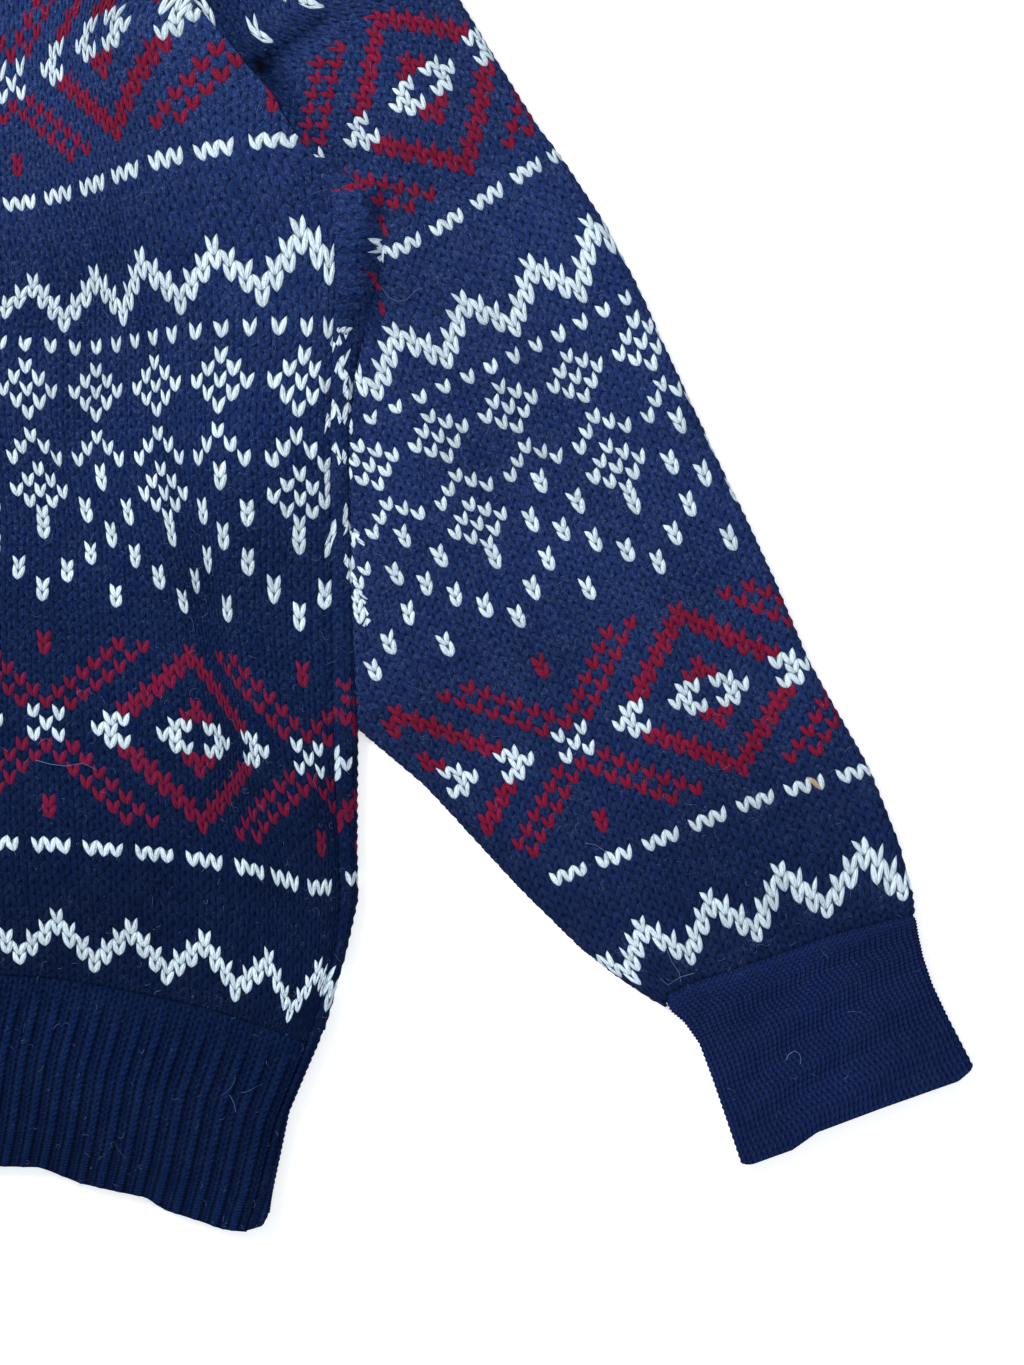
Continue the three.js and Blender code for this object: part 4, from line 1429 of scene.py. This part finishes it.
class JUMPER_OT_ribs(bpy.types.Operator):
    """Knit the hem, the cuffs and the neckband"""
    bl_idname = "jumper.ribs"
    bl_label = "Ribs"

    def execute(self, context):
        settings = context.scene.jumper

        def knit_rib(name, stitches, rows, lay, wool):
            bm = flat_knit(0, stitches, -1, rows + 1, settings.drop, plain)
            knit_piece(name, bm, settings, lay, wool)

        wool = rib_wool(settings)
        knit_rib("hem_front_rib", HEM_STITCHES, HEM_RIB_ROWS, lay_hem_front, wool)
        knit_rib("hem_back_rib", HEM_BACK_STITCHES, HEM_RIB_ROWS, lay_hem_back, wool)
        for side, name in SIDES:
            knit_rib(f"cuff_{name}_rib", CUFF_STITCHES, CUFF_ROWS, lay_cuff(side), cuff_wool(settings))
        neck_stitches = NECK_FRONT_STITCHES + NECK_BACK_STITCHES
        knit_rib("neckband_rib", neck_stitches, NECK_ROWS, lay_neckband, wool)
        return {"FINISHED"}


def lay_roll(side):
    first, last = UNDERARM_ROLL[0][0], UNDERARM_ROLL[-1][0]
    levels = np.linspace(first, last, 40)
    left, right = (read_table(UNDERARM_ROLL, levels, edge) for edge in (1, 2))

    def lay(stitch, row, depth):
        run = np.clip(stitch + unevenness(stitch, row, 9, 0.05), 0, ROLL_STITCHES) / ROLL_STITCHES
        level = first + run * (last - first)
        share = np.clip(row + unevenness(stitch, row, 10, 0.05), 0, ROLL_ROWS) / ROLL_ROWS
        inner, outer = np.interp(level, levels, left), np.interp(level, levels, right)
        x = across(inner + (outer - inner) * share)
        y = along(level)
        round_up = ROLL_HEIGHT * np.sqrt(np.clip(1 - (2 * share - 1) ** 2, 0, 1))
        round_up = round_up * np.clip((outer - inner) / 40, 0.3, 1)
        between_wales = 0.8 * (np.abs(np.sin(math.pi * stitch)) - 1)
        z = top_height(x, y) - 0.5 + round_up + between_wales + depth
        return np.column_stack((side * x, y, z))

    return lay


class JUMPER_OT_underarms(bpy.types.Operator):
    """Knit the bunched cloth below each underarm, its wales lying crossways"""
    bl_idname = "jumper.underarms"
    bl_label = "Underarms"

    def execute(self, context):
        settings = context.scene.jumper
        for side, name in SIDES:
            bm = flat_knit(0, ROLL_STITCHES, -1, ROLL_ROWS + 1, settings.drop, plain)
            knit_piece(f"underarm_{name}_roll", bm, settings, lay_roll(side), body_wool(settings),
                       painted_shades=BACK_PAINTED_SHADES, node_name="back")
        return {"FINISHED"}


def hair_material(name, colour):
    """A single fine hair's colour, with a little change along the cloth."""
    material = bpy.data.materials.new(name)
    material.use_nodes = True
    tree = material.node_tree
    shader = tree.nodes["Principled BSDF"]
    shader.inputs["Roughness"].default_value = 0.8
    place = node(tree, "ShaderNodeTexCoord", (-900, 0))
    patches = node(tree, "ShaderNodeTexNoise", (-700, 0), Scale=60.0, Detail=2.0)
    tree.links.new(place.outputs["Object"], patches.inputs["Vector"])
    shade = node(tree, "ShaderNodeVectorMath", (-300, 0), operation="SCALE")
    shade.inputs[0].default_value = colour
    tree.links.new(spread(tree, patches.outputs["Fac"], 0.3, 0.7, 0.7, 1.2), shade.inputs["Scale"])
    tree.links.new(shade.outputs["Vector"], shader.inputs["Base Color"])
    return material


def hair_roots(scene):
    """Spots on the upper side of the wool, how readily each carries a hair, and the kind of its yarn."""
    roots, weights, kinds = [], [], []
    for piece in scene.objects:
        if not piece.name.endswith(("_knit", "_rib")):
            continue
        mesh = piece.data
        spots = read_values(mesh.vertices, "co", 3)
        cloth = sum(face.area for face in mesh.polygons)
        dyes = read_values(mesh.color_attributes["Yarn"].data, "color", 4, np.float32)
        redness = np.zeros(len(spots))
        redness[read_values(mesh.loops, "vertex_index", kind=int)] = dyes[:, 0]
        upper = spots[:, 2] > UPPER_SIDE
        kind = np.digitize(redness[upper], REDNESS_STEPS)
        share = CUFF_HAIR_SHARE if piece.name.startswith("cuff") else 1.0
        roots.append(spots[upper])
        kinds.append(kind)
        weights.append(np.where(kind == 2, 3.0, 1.0) * share * cloth / len(spots))
    return np.concatenate(roots), np.concatenate(weights), np.concatenate(kinds)


def curl_hair(strand, rng, root, kind):
    """Shapes one fine hair, bending more or less as it goes along."""
    length = rng.uniform(0.0012, 0.0045) * (2.4 if rng.random() < 0.05 else 1)
    heading = rng.uniform(0, math.tau)
    bend = rng.normal(0, 0.75)
    rise = rng.uniform(0.0003, 0.0012)
    strand.points.add(HAIR_POINTS - 1)
    strand.material_index = int(kind) if kind else (0 if rng.random() < 0.72 else PALE_HAIR)
    spot = np.array(root)
    for number, point in enumerate(strand.points):
        share = number / (HAIR_POINTS - 1)
        height = rise * math.sin(math.pi * share * 0.9) - 0.0001
        point.co = (spot[0], spot[1], spot[2] + height, 1)
        point.radius = 1 - 0.6 * share
        spot += np.array((math.cos(heading), math.sin(heading), 0)) * length / (HAIR_POINTS - 1)
        heading += bend
        bend += rng.normal(0, 0.25)


def lay_long_hair(strand, spots):
    strand.points.add(len(spots) - 1)
    strand.material_index = PALE_HAIR
    for point, (column, level) in zip(strand.points, spots):
        x, y = across(column), along(level)
        point.co = (x * MM, y * MM, (top_height(x, y) + 0.5) * MM, 1)
        point.radius = 1.8


class JUMPER_OT_fibres(bpy.types.Operator):
    """Stand fine loose hairs off the upper side of the wool"""
    bl_idname = "jumper.fibres"
    bl_label = "Loose fibres"

    def execute(self, context):
        rng = np.random.default_rng(21)
        roots, weights, kinds = hair_roots(context.scene)
        count = context.scene.jumper.fibres
        chosen = rng.choice(len(roots), count, replace=False, p=weights / weights.sum())
        curve = bpy.data.curves.new("hairs", "CURVE")
        curve.dimensions = "3D"
        curve.bevel_depth = 0.00007
        curve.bevel_resolution = 0
        for root, kind in zip(roots[chosen], kinds[chosen]):
            curl_hair(curve.splines.new("POLY"), rng, root, kind)
        for spots in LONG_HAIRS:
            lay_long_hair(curve.splines.new("POLY"), spots)
        for name, colour in HAIR_COLOURS:
            curve.materials.append(hair_material(name, colour))
        holder = bpy.data.objects.new("hairs", curve)
        context.scene.collection.objects.link(holder)
        mesh = bpy.data.meshes.new_from_object(holder.evaluated_get(context.evaluated_depsgraph_get()))
        bpy.data.objects.remove(holder)
        hairs = bpy.data.objects.new("loose_hairs", mesh)
        context.scene.collection.objects.link(hairs)
        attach(hairs, "root")
        return {"FINISHED"}


def lay_floor(scene):
    """White paper a little below the jumper."""
    bm = bmesh.new()
    bmesh.ops.create_grid(bm, x_segments=1, y_segments=1, size=4)
    bmesh.ops.translate(bm, verts=bm.verts[:], vec=(0, 0, -0.0004))
    mesh = bpy.data.meshes.new("floor")
    bm.to_mesh(mesh)
    bm.free()
    floor = bpy.data.objects.new("floor", mesh)
    scene.collection.objects.link(floor)
    paper = bpy.data.materials.new("white paper")
    paper.use_nodes = True
    shader = paper.node_tree.nodes["Principled BSDF"]
    shader.inputs["Base Color"].default_value = (0.93, 0.93, 0.93, 1)
    shader.inputs["Roughness"].default_value = 0.9
    shader.inputs["Emission Color"].default_value = (1, 1, 1, 1)
    shader.inputs["Emission Strength"].default_value = 0.42
    mesh.materials.append(paper)


def light_stage(scene):
    """A pale sky, a window lamp and a weak fill, all aimed beside the jumper's middle."""
    world = bpy.data.worlds.new("studio")
    world.use_nodes = True
    world.node_tree.nodes["Background"].inputs["Color"].default_value = (0.92, 0.95, 1, 1)
    world.node_tree.nodes["Background"].inputs["Strength"].default_value = 0.45
    scene.world = world
    scene.view_settings.view_transform = "Standard"
    for name, place, size, power, colour in LAMPS:
        light = bpy.data.lights.new(name, "AREA")
        light.size = size
        light.energy = power
        light.color = colour
        lamp = bpy.data.objects.new(name, light)
        lamp.location = place
        aim = Vector((0.2, 0, 0)) - Vector(place)
        lamp.rotation_euler = aim.to_track_quat("-Z", "Y").to_euler()
        scene.collection.objects.link(lamp)


def set_camera(scene):
    """A camera that looks straight down and frames what the photograph frames."""
    lens = bpy.data.cameras.new("camera")
    lens.sensor_fit = "AUTO"
    lens.sensor_width = 36
    lens.lens = lens.sensor_width * CAMERA_HEIGHT / (PICTURE[1] * STEP * MM)
    camera = bpy.data.objects.new("camera", lens)
    middle = across(PICTURE[0] / 2) * MM, along(PICTURE[1] / 2) * MM
    camera.location = (*middle, CAMERA_HEIGHT + LAID_HEIGHT * MM)
    scene.collection.objects.link(camera)
    scene.camera = camera


class JUMPER_OT_stage(bpy.types.Operator):
    """Set out the pale floor, the soft light and the camera above the jumper"""
    bl_idname = "jumper.stage"
    bl_label = "Stage"

    def execute(self, context):
        lay_floor(context.scene)
        light_stage(context.scene)
        set_camera(context.scene)
        return {"FINISHED"}


class JUMPER_PT_panel(bpy.types.Panel):
    """Lists the jumper's pieces and settings"""
    bl_idname = "JUMPER_PT_panel"
    bl_label = "Fair isle jumper"
    bl_space_type = "VIEW_3D"
    bl_region_type = "UI"
    bl_category = "Jumper"

    def draw(self, context):
        settings = context.scene.jumper
        for name in JumperSettings.__annotations__:
            self.layout.prop(settings, name)
        for operator in OPERATORS:
            self.layout.operator(operator.bl_idname)


OPERATORS = (
    JUMPER_OT_stage,
    JUMPER_OT_front,
    JUMPER_OT_back,
    JUMPER_OT_sleeves,
    JUMPER_OT_ribs,
    JUMPER_OT_underarms,
    JUMPER_OT_fibres,
)
CLASSES = (JumperSettings, *OPERATORS, JUMPER_PT_panel)


def register():
    for cls in CLASSES:
        bpy.utils.register_class(cls)
    bpy.types.Scene.jumper = PointerProperty(type=JumperSettings)


def unregister():
    del bpy.types.Scene.jumper
    for cls in reversed(CLASSES):
        bpy.utils.unregister_class(cls)


def main():
    register()
    bpy.ops.jumper.stage()
    bpy.ops.jumper.front()
    bpy.ops.jumper.back()
    bpy.ops.jumper.sleeves()
    bpy.ops.jumper.ribs()
    bpy.ops.jumper.underarms()
    bpy.ops.jumper.fibres()


if __name__ == "__main__":
    main()
